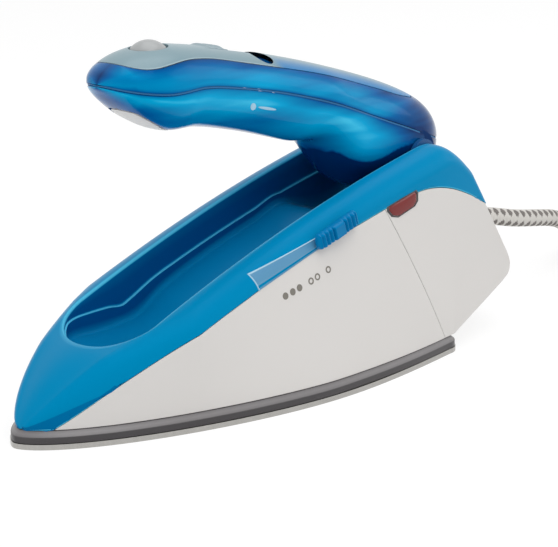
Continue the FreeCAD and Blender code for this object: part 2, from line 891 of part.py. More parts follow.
def tank_seam_prism(lift=0.0):
    """Prism of everything above the seam between the tank's two halves."""
    line = [
        (64, 118.8), (48, 112.2), (34, 109.9), (18, 110.2), (0, 107.5), (-40, 97.7),
        (-76, 84.6), (-100, 76.0), (-126, 70.0),
    ]
    line = [(x, z + lift) for x, z in line]
    high = [(-126, 140), (64, 140), line[0]]
    return side_prism([side_curve(line)] + side_line([line[-1]] + high))


def panel_prism():
    """Prism of everything above the top panel's edge."""
    line = [
        (49, 124.0), (46.5, 121.4), (44, 119.4), (41, 118.5), (36.5, 118.4), (31, 119.0), (23, 119.6),
        (14, 118.9), (-4, 115.3), (-18, 112.2), (-42, 106.6), (-85, 93.2),
    ]
    high = [(-93, 91.6), (-94, 140), (49, 140), line[0]]
    return side_prism([side_curve(line)] + side_line([line[-1]] + high))


def insert_prism():
    """Prism of the grip insert's place along the handle's front underside."""
    line = [(44, 104.6), (41.5, 103.9), (37, 101.3), (32, 98.5), (28, 96.5), (24, 95.5)]
    low = [(24, 80), (44, 80), line[0]]
    return side_prism([side_curve(line)] + side_line([line[-1]] + low))


def oval(length, width, height):
    """Upright oval bar centred on the origin."""
    half = (length - width) / 2
    shape = box(-half, half, -width / 2, width / 2, 0, height)
    ends = [cylinder((s * half, 0, 0), (s * half, 0, height), width / 2) for s in (-1, 1)]
    return shape.multiFuse(ends).removeSplitter()


def track_place(distance):
    """Placement on the top panel, a distance behind the filling cover's front edge."""
    front = dim("cover_front_x")
    angle = math.radians(dim("track_angle"))
    top = along(HANDLE_TOP, front)
    point = Vector(front - distance * math.cos(angle), 0, top - distance * math.sin(angle))
    return Placement(point, Rotation(Vector(0, 1, 0), -dim("track_angle")))


def on_track(shape, distance, lift):
    """Put a shape drawn about the origin on the filling cover's track."""
    placed = shape.copy()
    placed.translate(Vector(0, 0, lift))
    placed.Placement = track_place(distance).multiply(placed.Placement)
    return placed


def inlet_middle():
    """Distance along the track to the middle of the filling hole."""
    return dim("cover_length") + dim("inlet_length") / 2 + 0.8


def build_handle():
    """Tank halves, seal, top panel, grip insert and barrel."""
    outer = handle_loft(0.0, 51, -109.5)
    under_panel = handle_loft(dim("panel_thickness"), 48.8, -107)
    cavity = handle_loft(dim("panel_thickness") + dim("tank_wall"), 46, -66)
    upper_side = tank_seam_prism(dim("seal_thickness") / 2)
    lower_top = tank_seam_prism(-dim("seal_thickness") / 2)
    panel = outer.cut(under_panel).common(panel_prism())
    insert = outer.cut(handle_loft(dim("insert_thickness"), 49.5, -107)).common(insert_prism())
    upper = outer.common(upper_side).cut(panel).cut(cavity)
    lower = outer.cut(lower_top).cut(insert).cut(cavity)
    seal = outer.common(lower_top.cut(upper_side)).cut(cavity)

    barrel_half = dim("handle_half_width") - 0.6
    barrel = cylinder(
        (HINGE.x, -barrel_half, HINGE.z), (HINGE.x, barrel_half, HINGE.z), dim("barrel_radius"))
    swept = cylinder((HINGE.x, -30, HINGE.z), (HINGE.x, 30, HINGE.z), dim("barrel_radius"))
    bore = pin_holes(dim("pin_radius") + dim("running_clearance"))
    for hole in bore:
        barrel = barrel.cut(hole)

    button_x = dim("button_place")
    cup_radius = dim("button_radius") + dim("button_clearance") + dim("cup_wall")
    cup_space = cylinder((button_x, 0, dim("cup_low")), (button_x, 0, 140), cup_radius)
    button_hole = cylinder(
        (button_x, 0, 90), (button_x, 0, 140), dim("button_radius") + dim("button_clearance"))
    track_length = dim("cover_length") + dim("cover_travel") + 2 * dim("cover_gap") + 0.6
    track = on_track(
        box(-track_length + 0.5, 0.5, -dim("cover_width") / 2 - dim("cover_gap"),
            dim("cover_width") / 2 + dim("cover_gap"), 0, 6),
        0, -dim("cover_thickness") - 0.1)
    inlet = on_track(oval(dim("inlet_length"), dim("inlet_width"), 12), inlet_middle(), -8)
    grommet_space = on_track(
        oval(dim("inlet_length") + 2 * dim("grommet_wall"), dim("inlet_width") + 2 * dim("grommet_wall"), 20),
        inlet_middle(), -19)

    keep_shape("top_panel", largest(panel.cut(button_hole).cut(track).cut(inlet)))
    upper = upper.cut(cup_space).cut(swept)
    keep_shape("inlet_grommet", largest(upper.common(grommet_space).cut(inlet)))
    keep_shape("tank_upper", largest(upper.cut(grommet_space)))
    keep_shape("tank_lower", largest(lower.cut(swept)))
    keep_shape("tank_seal", largest(seal.cut(swept).cut(cup_space)))
    keep_shape("grip_insert", largest(insert))
    keep_shape("hinge_barrel", barrel)


def build_button():
    """Steam button with its dome, skirt and stem, the cup that guides it, and its spring."""
    x = dim("button_place")
    radius = dim("button_radius")
    low = dim("cup_low")
    cup = DOC.addObject("Part::Cylinder", "cup_outside")
    bind(cup, Radius="dims.button_radius + dims.button_clearance + dims.cup_wall",
         Height="dims.cup_height")
    place(cup, (x, 0, low))
    room = DOC.addObject("Part::Cylinder", "cup_room")
    bind(room, Radius="dims.button_radius + dims.button_clearance", Height="dims.cup_height")
    place(room, (x, 0, low + dim("cup_floor")))
    guide = DOC.addObject("Part::Cylinder", "cup_guide")
    bind(guide, Radius="dims.stem_radius + dims.running_clearance", Height="dims.cup_floor * 3")
    place(guide, (x, 0, low - dim("cup_floor")))
    hollow = DOC.addObject("Part::MultiFuse", "cup_hollow")
    hollow.Shapes = [room, guide]
    valve = DOC.addObject("Part::Cut", "valve_cup")
    valve.Base = cup
    valve.Tool = hollow
    keep(valve, "valve_cup")

    spring_room = dim("button_travel") + 2.5
    skirt_low = low + dim("cup_floor") + spring_room
    skirt_top = along(HANDLE_TOP, x) - 1.0
    stem_low = low + 0.2
    skirt = DOC.addObject("Part::Cylinder", "button_skirt")
    bind(skirt, Radius="dims.button_radius")
    skirt.Height = skirt_top - skirt_low
    place(skirt, (x, 0, skirt_low))
    stem = DOC.addObject("Part::Cylinder", "button_stem")
    bind(stem, Radius="dims.stem_radius")
    stem.Height = skirt_low - stem_low
    place(stem, (x, 0, stem_low))
    rise = dim("button_dome")
    ball_radius = (radius ** 2 + rise ** 2) / (2 * rise)
    ball = DOC.addObject("Part::Sphere", "button_ball")
    bind(ball, Radius="(dims.button_radius ^ 2 + dims.button_dome ^ 2) / (2 * dims.button_dome)")
    place(ball, (x, 0, skirt_top + rise - ball_radius))
    column = DOC.addObject("Part::Cylinder", "button_column")
    bind(column, Radius="dims.button_radius")
    column.Height = 10
    place(column, (x, 0, skirt_top))
    dome = DOC.addObject("Part::Common", "button_dome_cap")
    dome.Base = ball
    dome.Tool = column
    button = DOC.addObject("Part::MultiFuse", "steam_button")
    button.Shapes = [skirt, stem, dome]
    keep(button, "steam_button")

    coil = Part.makeHelix(spring_room / 5.2, spring_room - 0.8, dim("spring_radius"))
    wire = Part.Wire(Part.makeCircle(
        dim("spring_wire"), Vector(dim("spring_radius"), 0, 0), Vector(0, 1, 0.1)))
    spring = Part.Wire(coil).makePipeShell([wire], True, True)
    spring.translate(Vector(x, 0, low + dim("cup_floor") + 0.4))
    keep_shape("button_spring", spring)


def build_fill_cover():
    """Sliding cover of the filling hole, with three finger ribs."""
    length = dim("cover_length")
    half = dim("cover_width") / 2
    thickness = dim("cover_thickness")
    plate = box(-length, 0, -half, half, 0, thickness)
    ribs = [cylinder((-length * share, -half * 0.7, thickness), (-length * share, half * 0.7, thickness), 0.8)
            for share in (0.3, 0.5, 0.7)]
    cover = plate.multiFuse(ribs).cut(box(-length - 1, 1, -half, half, -3, 0))
    keep_shape("fill_cover", on_track(cover, 0, -thickness))


def build_hinge():
    """Two stub pins and the washers between the handle and the well's walls."""
    pins = DOC.addObject("Part::Compound", "hinge_pins")
    washers = DOC.addObject("Part::Compound", "hinge_washers")
    pin_list = []
    washer_list = []
    for side in (-1, 1):
        turn = Rotation(Vector(0, 0, 1), Vector(0, side, 0))
        pin = DOC.addObject("Part::Cylinder", "hinge_pin")
        bind(pin, Radius="dims.pin_radius", Height="dims.pin_length")
        place(pin, (HINGE.x, side * dim("pin_seat"), HINGE.z), turn)
        pin_list.append(pin)
        disc = DOC.addObject("Part::Cylinder", "washer_disc")
        bind(disc, Radius="dims.washer_radius",
             Height="dims.well_half_width - dims.handle_half_width - 0.6")
        place(disc, (HINGE.x, side * (dim("handle_half_width") + 0.5), HINGE.z), turn)
        hole = DOC.addObject("Part::Cylinder", "washer_hole")
        bind(hole, Radius="dims.pin_radius", Height="dims.pin_length")
        place(hole, (HINGE.x, side * (dim("handle_half_width") - 5), HINGE.z), turn)
        washer = DOC.addObject("Part::Cut", "washer")
        washer.Base = disc
        washer.Tool = hole
        washer_list.append(washer)
    pins.Links = pin_list
    washers.Links = washer_list
    keep(pins, "hinge_pins")
    keep(washers, "hinge_washers")


# ---------------------------------------------------------------------------------------
# Temperature control
# ---------------------------------------------------------------------------------------

SLIDER_EDGE = 1.2       # rounding of the slider's outer edges
NECK_LENGTH = 8.0       # of the slider's neck through the slot
NECK_INNER = 25.0       # where the neck meets the root of the fork
NECK_SUNK = 0.5         # how far the neck reaches into the slider
FORK_HALF = 4.0         # half-length of the fork along the slot
FORK_INNER = 22.3       # fork's inner face, just outside the well's wall
ROOT_OUTER = 26.0
LEGS_OUTER = 27.4
CRANK_HALF = 2.2        # half-width of the crank's arm
CRANK_HUB = 5.0         # radius of the crank's hub
SPINDLE_SEAT = 3.0      # how deep the spindle stands in the thermostat


def build_temperature_control():
    """Slider with its neck and fork, and the thermostat whose crank the fork turns."""
    gap = dim("slider_gap")
    face = dim("shoulder_half_width") + dim("slider_standoff")
    proud = dim("slider_proud")
    cap = slot_box(
        dim("slider_length"), dim("slider_height"), face, face + proud, SLIDER_REST, dim("slider_lift"))
    outer_edges = [edge for edge in cap.Edges if edge.BoundBox.YMax > face + proud - 0.01]
    cap = cap.makeFillet(SLIDER_EDGE, outer_edges)
    neck = slot_box(
        NECK_LENGTH, dim("slot_width") - 2 * gap, NECK_INNER, face + NECK_SUNK, SLIDER_REST)
    arm_low = dim("crank_arm_low")
    arm_top = arm_low + dim("crank_arm_height")
    drop = dim("slider_travel") * math.sin(SLOT_ANGLE)
    fork_low = arm_top + ROOM + drop
    fork_top = dim("crank_pin_top") + ROOM + drop
    groove_half = dim("crank_pin_radius") + dim("fork_gap")
    rest = SLIDER_REST
    front, back = rest.x - FORK_HALF, rest.x + FORK_HALF
    legs = box(front, back, FORK_INNER, LEGS_OUTER, fork_low, fork_top)
    root = box(front, back, FORK_INNER, ROOT_OUTER, fork_top, rest.z + NECK_SUNK)
    groove = box(
        rest.x - groove_half, rest.x + groove_half, FORK_INNER - 2, LEGS_OUTER + 2, fork_low - 1, fork_top)
    keep_shape("temperature_slider", cap.multiFuse([neck, root, legs]).cut(groove))

    half_turn = math.asin(dim("slider_travel") * math.cos(SLOT_ANGLE) / 2 / dim("crank_radius"))
    hub = Vector(dim("slot_middle_x"), dim("crank_y"), 0)
    pin_y = hub.y + dim("crank_radius") * math.cos(half_turn)
    arm = cylinder((hub.x, hub.y, arm_low), (hub.x, hub.y, arm_top), CRANK_HUB)
    bar = box(0, dim("crank_radius"), -CRANK_HALF, CRANK_HALF, arm_low, arm_top)
    bar.rotate(Vector(0, 0, 0), Vector(0, 0, 1), 90 + math.degrees(half_turn))
    bar.translate(hub)
    foot = cylinder((rest.x, pin_y, arm_low), (rest.x, pin_y, arm_top), CRANK_HALF)
    pin = cylinder((rest.x, pin_y, arm_low), (rest.x, pin_y, dim("crank_pin_top")), dim("crank_pin_radius"))
    spindle_low = dim("base_height") + dim("thermostat_height") - SPINDLE_SEAT
    spindle = cylinder((hub.x, hub.y, spindle_low), (hub.x, hub.y, arm_top), dim("spindle_radius"))
    keep_shape("thermostat_crank", arm.multiFuse([bar, foot, pin, spindle]).removeSplitter())

    body = DOC.addObject("PartDesign::Body", "thermostat")
    sketch = sketch_on(body, "XY_Plane")
    add_circle(sketch, 0, 0, "dims.thermostat_radius")
    add_circle(sketch, 0, 0, "dims.spindle_radius + dims.running_clearance")
    pad(body, sketch, "dims.thermostat_height")
    place(body, (hub.x, hub.y, dim("base_height")))
    keep(body, "thermostat")


FUSE_PLACE = (-42, 9)
TERMINALS_X = -68
TERMINAL_ROWS = (-6.5, 0, 6.5)
TERMINAL_BORE = 1.6     # bore of a terminal, in wire radii
NEON_PLACE = (-64, 25.0, 56.0)
NEON_AXIS = Vector(1, 0, -0.3)
CLAMP_BEHIND_EXIT = 19  # from the cord's exit forward to the clamp
LEADS_BEHIND_EXIT = 13.5


def build_electrics():
    """Thermal fuse, terminal block, cord clamp, neon lamp and the inner leads."""
    low = dim("base_height")
    fuse = DOC.addObject("Part::Cylinder", "fuse_can")
    bind(fuse, Radius="dims.fuse_radius", Height="dims.fuse_length")
    place(fuse, (*FUSE_PLACE, low + dim("fuse_radius")), Rotation(Vector(0, 0, 1), Vector(-1, 0, 0)))
    keep(fuse, "thermal_fuse")

    block = DOC.addObject("PartDesign::Body", "terminal_block")
    sketch = sketch_on(block, "XY_Plane")
    add_rectangle(sketch, "dims.terminal_length", "dims.terminal_width")
    for y in TERMINAL_ROWS:
        add_circle(sketch, 0, y, f"dims.wire_radius * {TERMINAL_BORE}")
    pad(block, sketch, "dims.terminal_height")
    place(block, (TERMINALS_X, 0, low))
    keep(block, "terminal_block")

    lamp = DOC.addObject("Part::Cylinder", "lamp_glass")
    bind(lamp, Radius="dims.neon_radius", Height="dims.neon_length")
    tip = DOC.addObject("Part::Sphere", "lamp_tip")
    bind(tip, Radius="dims.neon_radius")
    place(lamp, NEON_PLACE, Rotation(Vector(0, 0, 1), NEON_AXIS))
    place(tip, NEON_PLACE)
    neon = DOC.addObject("Part::MultiFuse", "neon_lamp")
    neon.Shapes = [lamp, tip]
    keep(neon, "neon_lamp")

    clamp = DOC.addObject("PartDesign::Body", "cord_clamp")
    sketch = sketch_on(clamp, "XY_Plane")
    add_rectangle(sketch, "dims.clamp_length", "dims.clamp_width")
    pad(clamp, sketch, "dims.clamp_height")
    start = cord_exit()
    place(clamp, (start.x + CLAMP_BEHIND_EXIT, 0, start.z + dim("cord_radius")))
    keep(clamp, "cord_clamp")

    drip = [(-76, -10, 45), (-76, -12, 33), (-66, -12, 24), (-40, -14, 22), (-14, -19, 22),
            (6, -12, 20.5), (18, -5, 19), (22, 0, 17), (22, 0, low + dim("lid_thickness") - 0.5)]
    keep_shape("drip_tube", tube(drip, dim("drip_tube_radius")))

    leads = []
    for y in (TERMINAL_ROWS[0], TERMINAL_ROWS[-1]):
        route = [(start.x + LEADS_BEHIND_EXIT, y * 0.3, start.z + 0.4), (-96, y * 0.6, 38), (-86, y, 34),
                 (-76, y, 31), (-70, y, 29.5), (TERMINALS_X, y, 24), (TERMINALS_X, y, low + 4)]
        leads.append(tube(route, dim("wire_radius")))
    keep_shape("inner_leads", Part.makeCompound(leads))


# ---------------------------------------------------------------------------------------
# Lead, coil and plug
# ---------------------------------------------------------------------------------------

COIL_MIDDLE = (-262.0, 16.0)
CORD_ROUTE = [
    (-136.0, 0.0, 37.6), (-143.0, 0.0, 36.5), (-152.0, 0.0, 34.6), (-165.0, -0.5, 31.4),
    (-180.0, -2.0, 28.7), (-196.0, -5.0, 25.6), (-212.0, -11.0, 20.0), (-228.5, -20.0, 11.6),
    (-245.0, -27.6, 5.0), (-262.0, -30.3, 3.5),
]
PLUG_TAIL_ROUTE = [
    (-263.4, -24.9, 15.7), (-273.9, -23.0, 16.5), (-283.6, -18.9, 18.7), (-291.7, -12.4, 21.5),
    (-297.9, -4.0, 24.1), (-301.7, 5.7, 25.9), (-303.1, 16.0, 26.7), (-303.1, 22.0, 26.7),
]


def build_strain_relief():
    """Tapered rubber sleeve round the lead, with a stub and a flange inside the wall."""
    start = cord_exit()
    along_cord = Rotation(Vector(0, 0, 1), cord_direction())
    cone = DOC.addObject("Part::Cone", "relief_cone")
    bind(cone, Radius1="dims.relief_radius", Radius2="dims.cord_radius + 0.9", Height="dims.relief_length")
    place(cone, start, along_cord)
    stub = DOC.addObject("Part::Cylinder", "relief_stub")
    bind(stub, Radius="dims.relief_radius - 1", Height="dims.relief_length / 2")
    place(stub, start - cord_direction() * (dim("relief_length") / 2 - 0.5), along_cord)
    flange = DOC.addObject("Part::Cylinder", "relief_flange")
    bind(flange, Radius="dims.relief_radius + 1", Height="dims.wall")
    place(flange, start - cord_direction() * (dim("relief_length") / 2 - 0.5), along_cord)
    whole = DOC.addObject("Part::MultiFuse", "strain_relief")
    whole.Shapes = [cone, stub, flange]
    DOC.recompute()
    return keep(whole, "strain_relief")


def build_cord():
    """Free lead, stored coil, coil tie and plug."""
    keep_shape("lead", tube(CORD_ROUTE, dim("cord_radius")))

    x, y = COIL_MIDDLE
    inner = dim("coil_inner_radius")
    outer = dim("coil_outer_radius")
    height = dim("coil_height")
    section = [
        Vector(inner, 0, 0), Vector(outer, 0, 0), Vector(outer, 0, 7), Vector(outer - 5.4, 0, height),
        Vector(inner + 1.6, 0, height), Vector(inner, 0, 7), Vector(inner, 0, 0),
    ]
    ring = Part.Face(Part.makePolygon(section)).revolve(Vector(0, 0, 0), Vector(0, 0, 1), 360)
    ring.translate(Vector(x, y, 0))
    keep_shape("lead_coil", ring)

    tie_x = x
    band_middle = y + (inner + outer) / 2
    reach = (outer - inner) / 2 + 0.2
    tie_outside = box(tie_x - 3, tie_x + 3, band_middle - reach - 1, band_middle + reach + 1, 0, height + 1)
    tie_inside = box(tie_x - 4, tie_x + 4, band_middle - reach, band_middle + reach, -1, height)
    keep_shape("coil_tie", tie_outside.cut(tie_inside))

    plug_x = PLUG_TAIL_ROUTE[-1][0]
    plug_back = PLUG_TAIL_ROUTE[-1][1] - 5.0
    plug_front = plug_back + dim("plug_length")
    plug_middle = height + dim("plug_thickness") / 2
    body = DOC.addObject("PartDesign::Body", "plug_body")
    sketch = sketch_on(body, "XZ_Plane")
    add_rectangle(sketch, "dims.plug_width", "dims.plug_thickness")
    pad(body, sketch, "dims.plug_length")
    place(body, (plug_x, plug_front, plug_middle))
    keep(body, "plug_body")
    blades = DOC.addObject("Part::Compound", "plug_blades")
    links = []
    for side in (-1, 1):
        blade = DOC.addObject("Part::Box", "blade")
        bind(blade, Length="dims.blade_thickness", Width="dims.blade_length", Height="dims.blade_width")
        place(blade, (plug_x + side * dim("blade_spacing") / 2 - dim("blade_thickness") / 2,
                      plug_front, plug_middle - dim("blade_width") / 2))
        links.append(blade)
    blades.Links = links
    keep(blades, "plug_blades")
    keep_shape("plug_tail", tube(PLUG_TAIL_ROUTE, dim("cord_radius")))


def build_screws():
    """Screws of the heated base: the front one also holds the lower housing's bridge."""
    bridge_top = dim("base_height") + dim("lid_thickness") + ROOM + WALL
    seats = [bridge_top] + [dim("base_height")] * (len(BASE_SCREWS) - 1)
    heads = [((x, y, seat), (0, 0, 1)) for (x, y), seat in zip(BASE_SCREWS, seats)]
    screw_group("base_screws", heads)


# ---------------------------------------------------------------------------------------
# Build, check and export
# ---------------------------------------------------------------------------------------

def build_all():
    """Build every sub-part."""
    build_soleplate()
    build_heated_base()
    build_chamber_lid()
    build_skirt()
    build_shells()
    build_handle()
    build_button()
    build_fill_cover()
    build_hinge()
    build_temperature_control()
    build_electrics()
    build_cord()
    build_screws()


def check_and_export():
    """Stop on any failed object or bad shape, then write one STEP file for each node."""
    DOC.recompute()
    for obj in DOC.Objects:
        if "Invalid" in obj.State or "Error" in obj.State:
            raise RuntimeError("failed object: %s %s" % (obj.Label, obj.State))
    bad = [obj.Label for obj in PARTS if obj.Shape.isNull() or not obj.Shape.isValid()]
    bad += [obj.Label for obj in PARTS if not obj.Shape.Solids]
    if bad:
        raise RuntimeError("bad shapes: %s" % ", ".join(bad))
    os.makedirs("parts", exist_ok=True)
    for obj in PARTS:
        shape = obj.Shape
        shape.exportStep("parts/%s.step" % obj.Label)
        bound = shape.BoundBox
        print("%-22s solids %d volume %9.1f x %.1f..%.1f y %.1f..%.1f z %.1f..%.1f" % (
            obj.Label, len(shape.Solids), shape.Volume, bound.XMin, bound.XMax,
            bound.YMin, bound.YMax, bound.ZMin, bound.ZMax))


build_all()
check_and_export()
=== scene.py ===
"""Folding travel steam iron: visible pieces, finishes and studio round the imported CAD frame."""

import json
import math
from contextlib import contextmanager

import bmesh
import bpy
import numpy as np
from mathutils import Matrix, Vector


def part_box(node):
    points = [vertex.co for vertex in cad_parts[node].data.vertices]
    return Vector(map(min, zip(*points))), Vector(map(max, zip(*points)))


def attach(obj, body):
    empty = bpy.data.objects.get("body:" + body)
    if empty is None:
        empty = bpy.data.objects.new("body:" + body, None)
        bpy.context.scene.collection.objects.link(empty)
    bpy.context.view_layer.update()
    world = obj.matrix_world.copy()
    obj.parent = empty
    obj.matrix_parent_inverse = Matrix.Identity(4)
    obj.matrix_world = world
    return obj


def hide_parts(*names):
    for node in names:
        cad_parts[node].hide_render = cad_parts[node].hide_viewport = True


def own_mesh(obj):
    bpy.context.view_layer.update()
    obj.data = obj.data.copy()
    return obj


bl_info = {
    "name": "Travel iron builder",
    "version": (1, 0, 0),
    "blender": (4, 5, 0),
    "location": "View3D > Sidebar > Iron",
    "description": "Builds the visible pieces of a folding travel steam iron",
    "category": "Add Mesh",
}

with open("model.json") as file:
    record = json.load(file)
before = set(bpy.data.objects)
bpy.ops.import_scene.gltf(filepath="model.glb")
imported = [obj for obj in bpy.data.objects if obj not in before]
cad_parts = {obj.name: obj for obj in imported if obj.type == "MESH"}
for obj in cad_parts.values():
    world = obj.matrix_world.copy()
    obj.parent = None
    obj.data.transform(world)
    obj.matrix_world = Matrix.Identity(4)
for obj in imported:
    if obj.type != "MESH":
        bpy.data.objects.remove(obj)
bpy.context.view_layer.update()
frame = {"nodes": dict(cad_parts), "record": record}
MM = 0.001

# Sole and hull, in millimetres
TOE = 90.0
HEEL = -131.0
SOLE_LENGTH = 183.0
SOLE_HALF = 41.6
SOLE_WIDEST = 0.5902
SOLE_NARROWING = 0.2013
SOLE_CORNER = 8.0
SKIRT_TOP = 6.1
FOOT_GAP = 0.08
NOSE = 87.8
NOSE_START = 63.0
HULL_INSET = 2.2
TAIL = -93.0
TAIL_ROUNDING = 3.0
RIM_HALF = 30.5
EAR_FRONT = -75.0
EAR_BACK = -104.0
EAR_FOOT = 64.9
WELL_HALF = 19.6
WELL_NOSE_MIDDLE = 44.5
WELL_NOSE_REACH = 17.0
HINGE = (-87.0, 0.0, 72.0)
FOLD = math.radians(34.0)
REAR_CORNER = 3.5
REAR_SLOPE = 1.404

# Joint between housing and rear cover: its top, and how far it moves back for each mm down
JOINT_X, JOINT_Z, JOINT_LEAN = -54.0, 58.4, 0.563

# Stations along the well's straight edge, as (from, to, how many)
WELL_STATIONS = [
    (-114.62, -107.6, 14), (-107.3, -105.8, 12), (-105.4, -72.0, 66), (-71.0, WELL_NOSE_MIDDLE, 96)]

# Handle: middle and half of its length, power of the superellipse across it, a point inside it
HANDLE_MIDDLE = -29.25
HANDLE_REACH = 80.25
SKIN_POWER = 0.86
HANDLE_INSIDE = (-30, 0, 95)
TANK_WALL = 1.7
BUTTON_X = 28.5
TOP_TURN = math.pi / 2

# Temperature slider's track
SLOT_ANGLE = math.radians(17.6)
SLOT_MIDDLE = (-14.5, 50.8)
SLIDER_TRAVEL = 28.0

# Side-view lines, as (x, z)
SEAM = [
    (92.0, -2.0), (83.8, 4.1), (66.0, 17.0), (53.0, 24.5), (12.0, 41.0), (-19.5, 51.0), (-43.0, 56.8),
    (-64.0, 61.4), (-76.0, 62.9), (-88.0, 61.3), (-101.0, 56.6), (-112.0, 51.2), (-137.0, 45.0),
]
EAR_ARCH = [
    (-70.0, 73.34), (-75.0, 74.47), (-80.0, 75.6), (-84.0, 76.3), (-88.0, 76.35), (-91.5, 75.3),
    (-95.0, 73.1), (-98.0, 70.6), (-101.0, 67.8), (-104.0, 64.9), (-108.0, 59.3),
]
REAR_OUTLINE = [
    (4.0, -88.0), (6.1, -93.0), (12.0, -108.3), (17.0, -121.2), (19.4, -127.0), (20.8, -129.6),
    (22.0, -130.6), (23.5, -131.0), (25.5, -130.9), (28.5, -129.9), (33.0, -126.8), (40.0, -121.8),
    (50.0, -114.7), (60.0, -107.6),
]
HANDLE_TOP = [
    (51, 112.8), (48.5, 117.0), (43, 120.3), (35, 122.8), (27, 123.8), (14, 122.4), (-6, 118.8),
    (-32, 112.9), (-60, 105.2), (-80, 98.6), (-92, 93.6), (-100, 89.0), (-106, 82.8), (-109.5, 74.0),
]
HANDLE_BOTTOM = [
    (51, 112.8), (48.5, 109.8), (43, 104.8), (35, 99.2), (27, 95.6), (14, 94.9), (-6, 90.8),
    (-32, 83.4), (-48, 78.6), (-54, 71.0), (-59, 65.2), (-65, 61.6), (-76, 59.4), (-90, 59.0),
    (-100, 62.0), (-106, 66.8), (-109.5, 74.0),
]
HANDLE_HALF = [
    (51, 0.0), (48.5, 8.0), (43, 13.2), (35, 16.5), (27, 17.2), (14, 16.6), (-6, 15.8), (-32, 16.2),
    (-60, 17.0), (-85, 17.2), (-95, 15.6), (-103, 11.4), (-108, 6.0), (-109.5, 0.0),
]
TANK_SEAM = [
    (64, 118.8), (48, 112.2), (34, 109.9), (18, 110.2), (0, 107.5), (-40, 97.7), (-76, 84.6),
    (-100, 76.0), (-126, 70.0),
]
PANEL_EDGE = [
    (56, 128.0), (49, 124.0), (46.5, 121.4), (44, 119.4), (41, 118.5), (36.5, 118.4), (31, 119.0),
    (23, 119.6), (14, 118.9), (-4, 115.3), (-18, 112.2), (-42, 106.6), (-70, 98.0), (-85, 93.2),
    (-92, 91.9), (-97, 93.0), (-112, 96.0),
]
INSERT_EDGE = [
    (56, 95.0), (50, 99.0), (44, 104.6), (41.5, 103.9), (37, 101.3), (32, 98.5), (28, 96.5),
    (24, 95.4), (20, 93.5), (15, 90.0), (-120, 0.0),
]
HINGE_LINE = [
    (52, 40.0), (-40, 60.0), (-46, 74.0), (-49.5, 77.2), (-55, 74.6), (-61, 72.9), (-68, 73.6),
    (-75, 75.7), (-86, 76.6), (-110, 80.0),
]
LEDGE = [
    (64, 29.4), (43.8, 31.2), (32.2, 31.5), (26, 31.2), (23.1, 32.5), (12.5, 37.7), (-0.7, 42.5),
    (-38.3, 54.3), (-58.1, 59.8), (-80, 64.0), (-110, 60.0),
]

# Lead, as part of the object: route points, coil and plug
CORD_RADIUS = 3.5
CORD_ROUTE = [
    (-136.0, 0.0, 37.6), (-143.0, 0.0, 36.5), (-152.0, 0.0, 34.6), (-165.0, -0.5, 31.4),
    (-180.0, -2.0, 28.7), (-196.0, -5.0, 25.6), (-212.0, -11.0, 20.0), (-228.5, -20.0, 11.6),
    (-245.0, -27.6, 5.0), (-262.0, -30.3, 3.5),
]
PLUG_TAIL_ROUTE = [
    (-263.4, -24.9, 15.7), (-273.9, -23.0, 16.5), (-283.6, -18.9, 18.7), (-291.7, -12.4, 21.5),
    (-297.9, -4.0, 24.1), (-301.7, 5.7, 25.9), (-303.1, 16.0, 26.7), (-303.1, 22.0, 26.7),
]
COIL_MIDDLE = (-262.0, 16.0)
# Turns of the coil, as (turns wound so far, distance from the coil's middle, height)
COIL_TURNS = [
    (0.0, 46.3, 3.5), (0.85, 46.3, 3.5), (1.0, 39.3, 3.5), (1.85, 39.3, 3.5), (2.0, 32.3, 3.5),
    (2.8, 32.3, 3.5), (3.05, 35.8, 9.6), (3.9, 35.8, 9.6), (4.1, 42.8, 9.6), (4.85, 42.8, 9.6),
    (5.06, 33.9, 15.7), (5.2, 33.9, 15.7), (5.42, 40.9, 15.7), (6.0, 40.9, 15.7),
]


# ---------------------------------------------------------------------------------------
# Curves and shape functions
# ---------------------------------------------------------------------------------------

def through(table, at):
    """Smooth value of a table of (station, value) rows at the given stations.

    Cubic Hermite between neighbours, its slopes weighted from the two runs beside each row.
    """
    rows = np.array(sorted(table), float)
    x, v = rows[:, 0], rows[:, 1]
    gap = np.diff(x)
    run = np.diff(v) / gap
    slope = np.empty_like(v)
    slope[1:-1] = (run[:-1] * gap[1:] + run[1:] * gap[:-1]) / (gap[1:] + gap[:-1])
    slope[0], slope[-1] = run[0], run[-1]
    at = np.clip(np.asarray(at, float), x[0], x[-1])
    i = np.clip(np.searchsorted(x, at) - 1, 0, len(gap) - 1)
    t = (at - x[i]) / gap[i]
    return (
        v[i] * (1 + 2 * t) * (1 - t) ** 2 + slope[i] * gap[i] * t * (1 - t) ** 2
        + v[i + 1] * t * t * (3 - 2 * t) - slope[i + 1] * gap[i] * t * t * (1 - t)
    )


def ease(x, start, end):
    """Smooth step from 0 at start to 1 at end."""
    t = np.clip((np.asarray(x, float) - start) / (end - start), 0, 1)
    return t * t * (3 - 2 * t)


def quarter(v):
    """Quarter circle: 0 at v = 0 with an upright start, 1 at v = 1 and after."""
    return np.sqrt(np.clip(1 - (1 - np.clip(v, 0, 1)) ** 2, 0, 1))


def sole_half(x, inset=0.0, front=TOE):
    """Half-width of the sole: a power curve from the toe, then a parabola towards the tail."""
    share = np.clip((front - np.asarray(x, float)) / SOLE_LENGTH, 0, None)
    rise = np.clip(1 - np.clip(1 - share / SOLE_WIDEST, 0, 1) ** 1.535, 0, 1) ** 0.612
    fall = (np.clip(share - SOLE_WIDEST, 0, None) / (1 - SOLE_WIDEST)) ** 2
    return (SOLE_HALF - inset) * np.where(share < SOLE_WIDEST, rise, 1 - SOLE_NARROWING * fall)


def rim_height(x):
    """Height of the shell's rim along the sides: a shallow parabola, falling to the front."""
    return 53.3 - 0.343 * x - 0.00081 * x * x


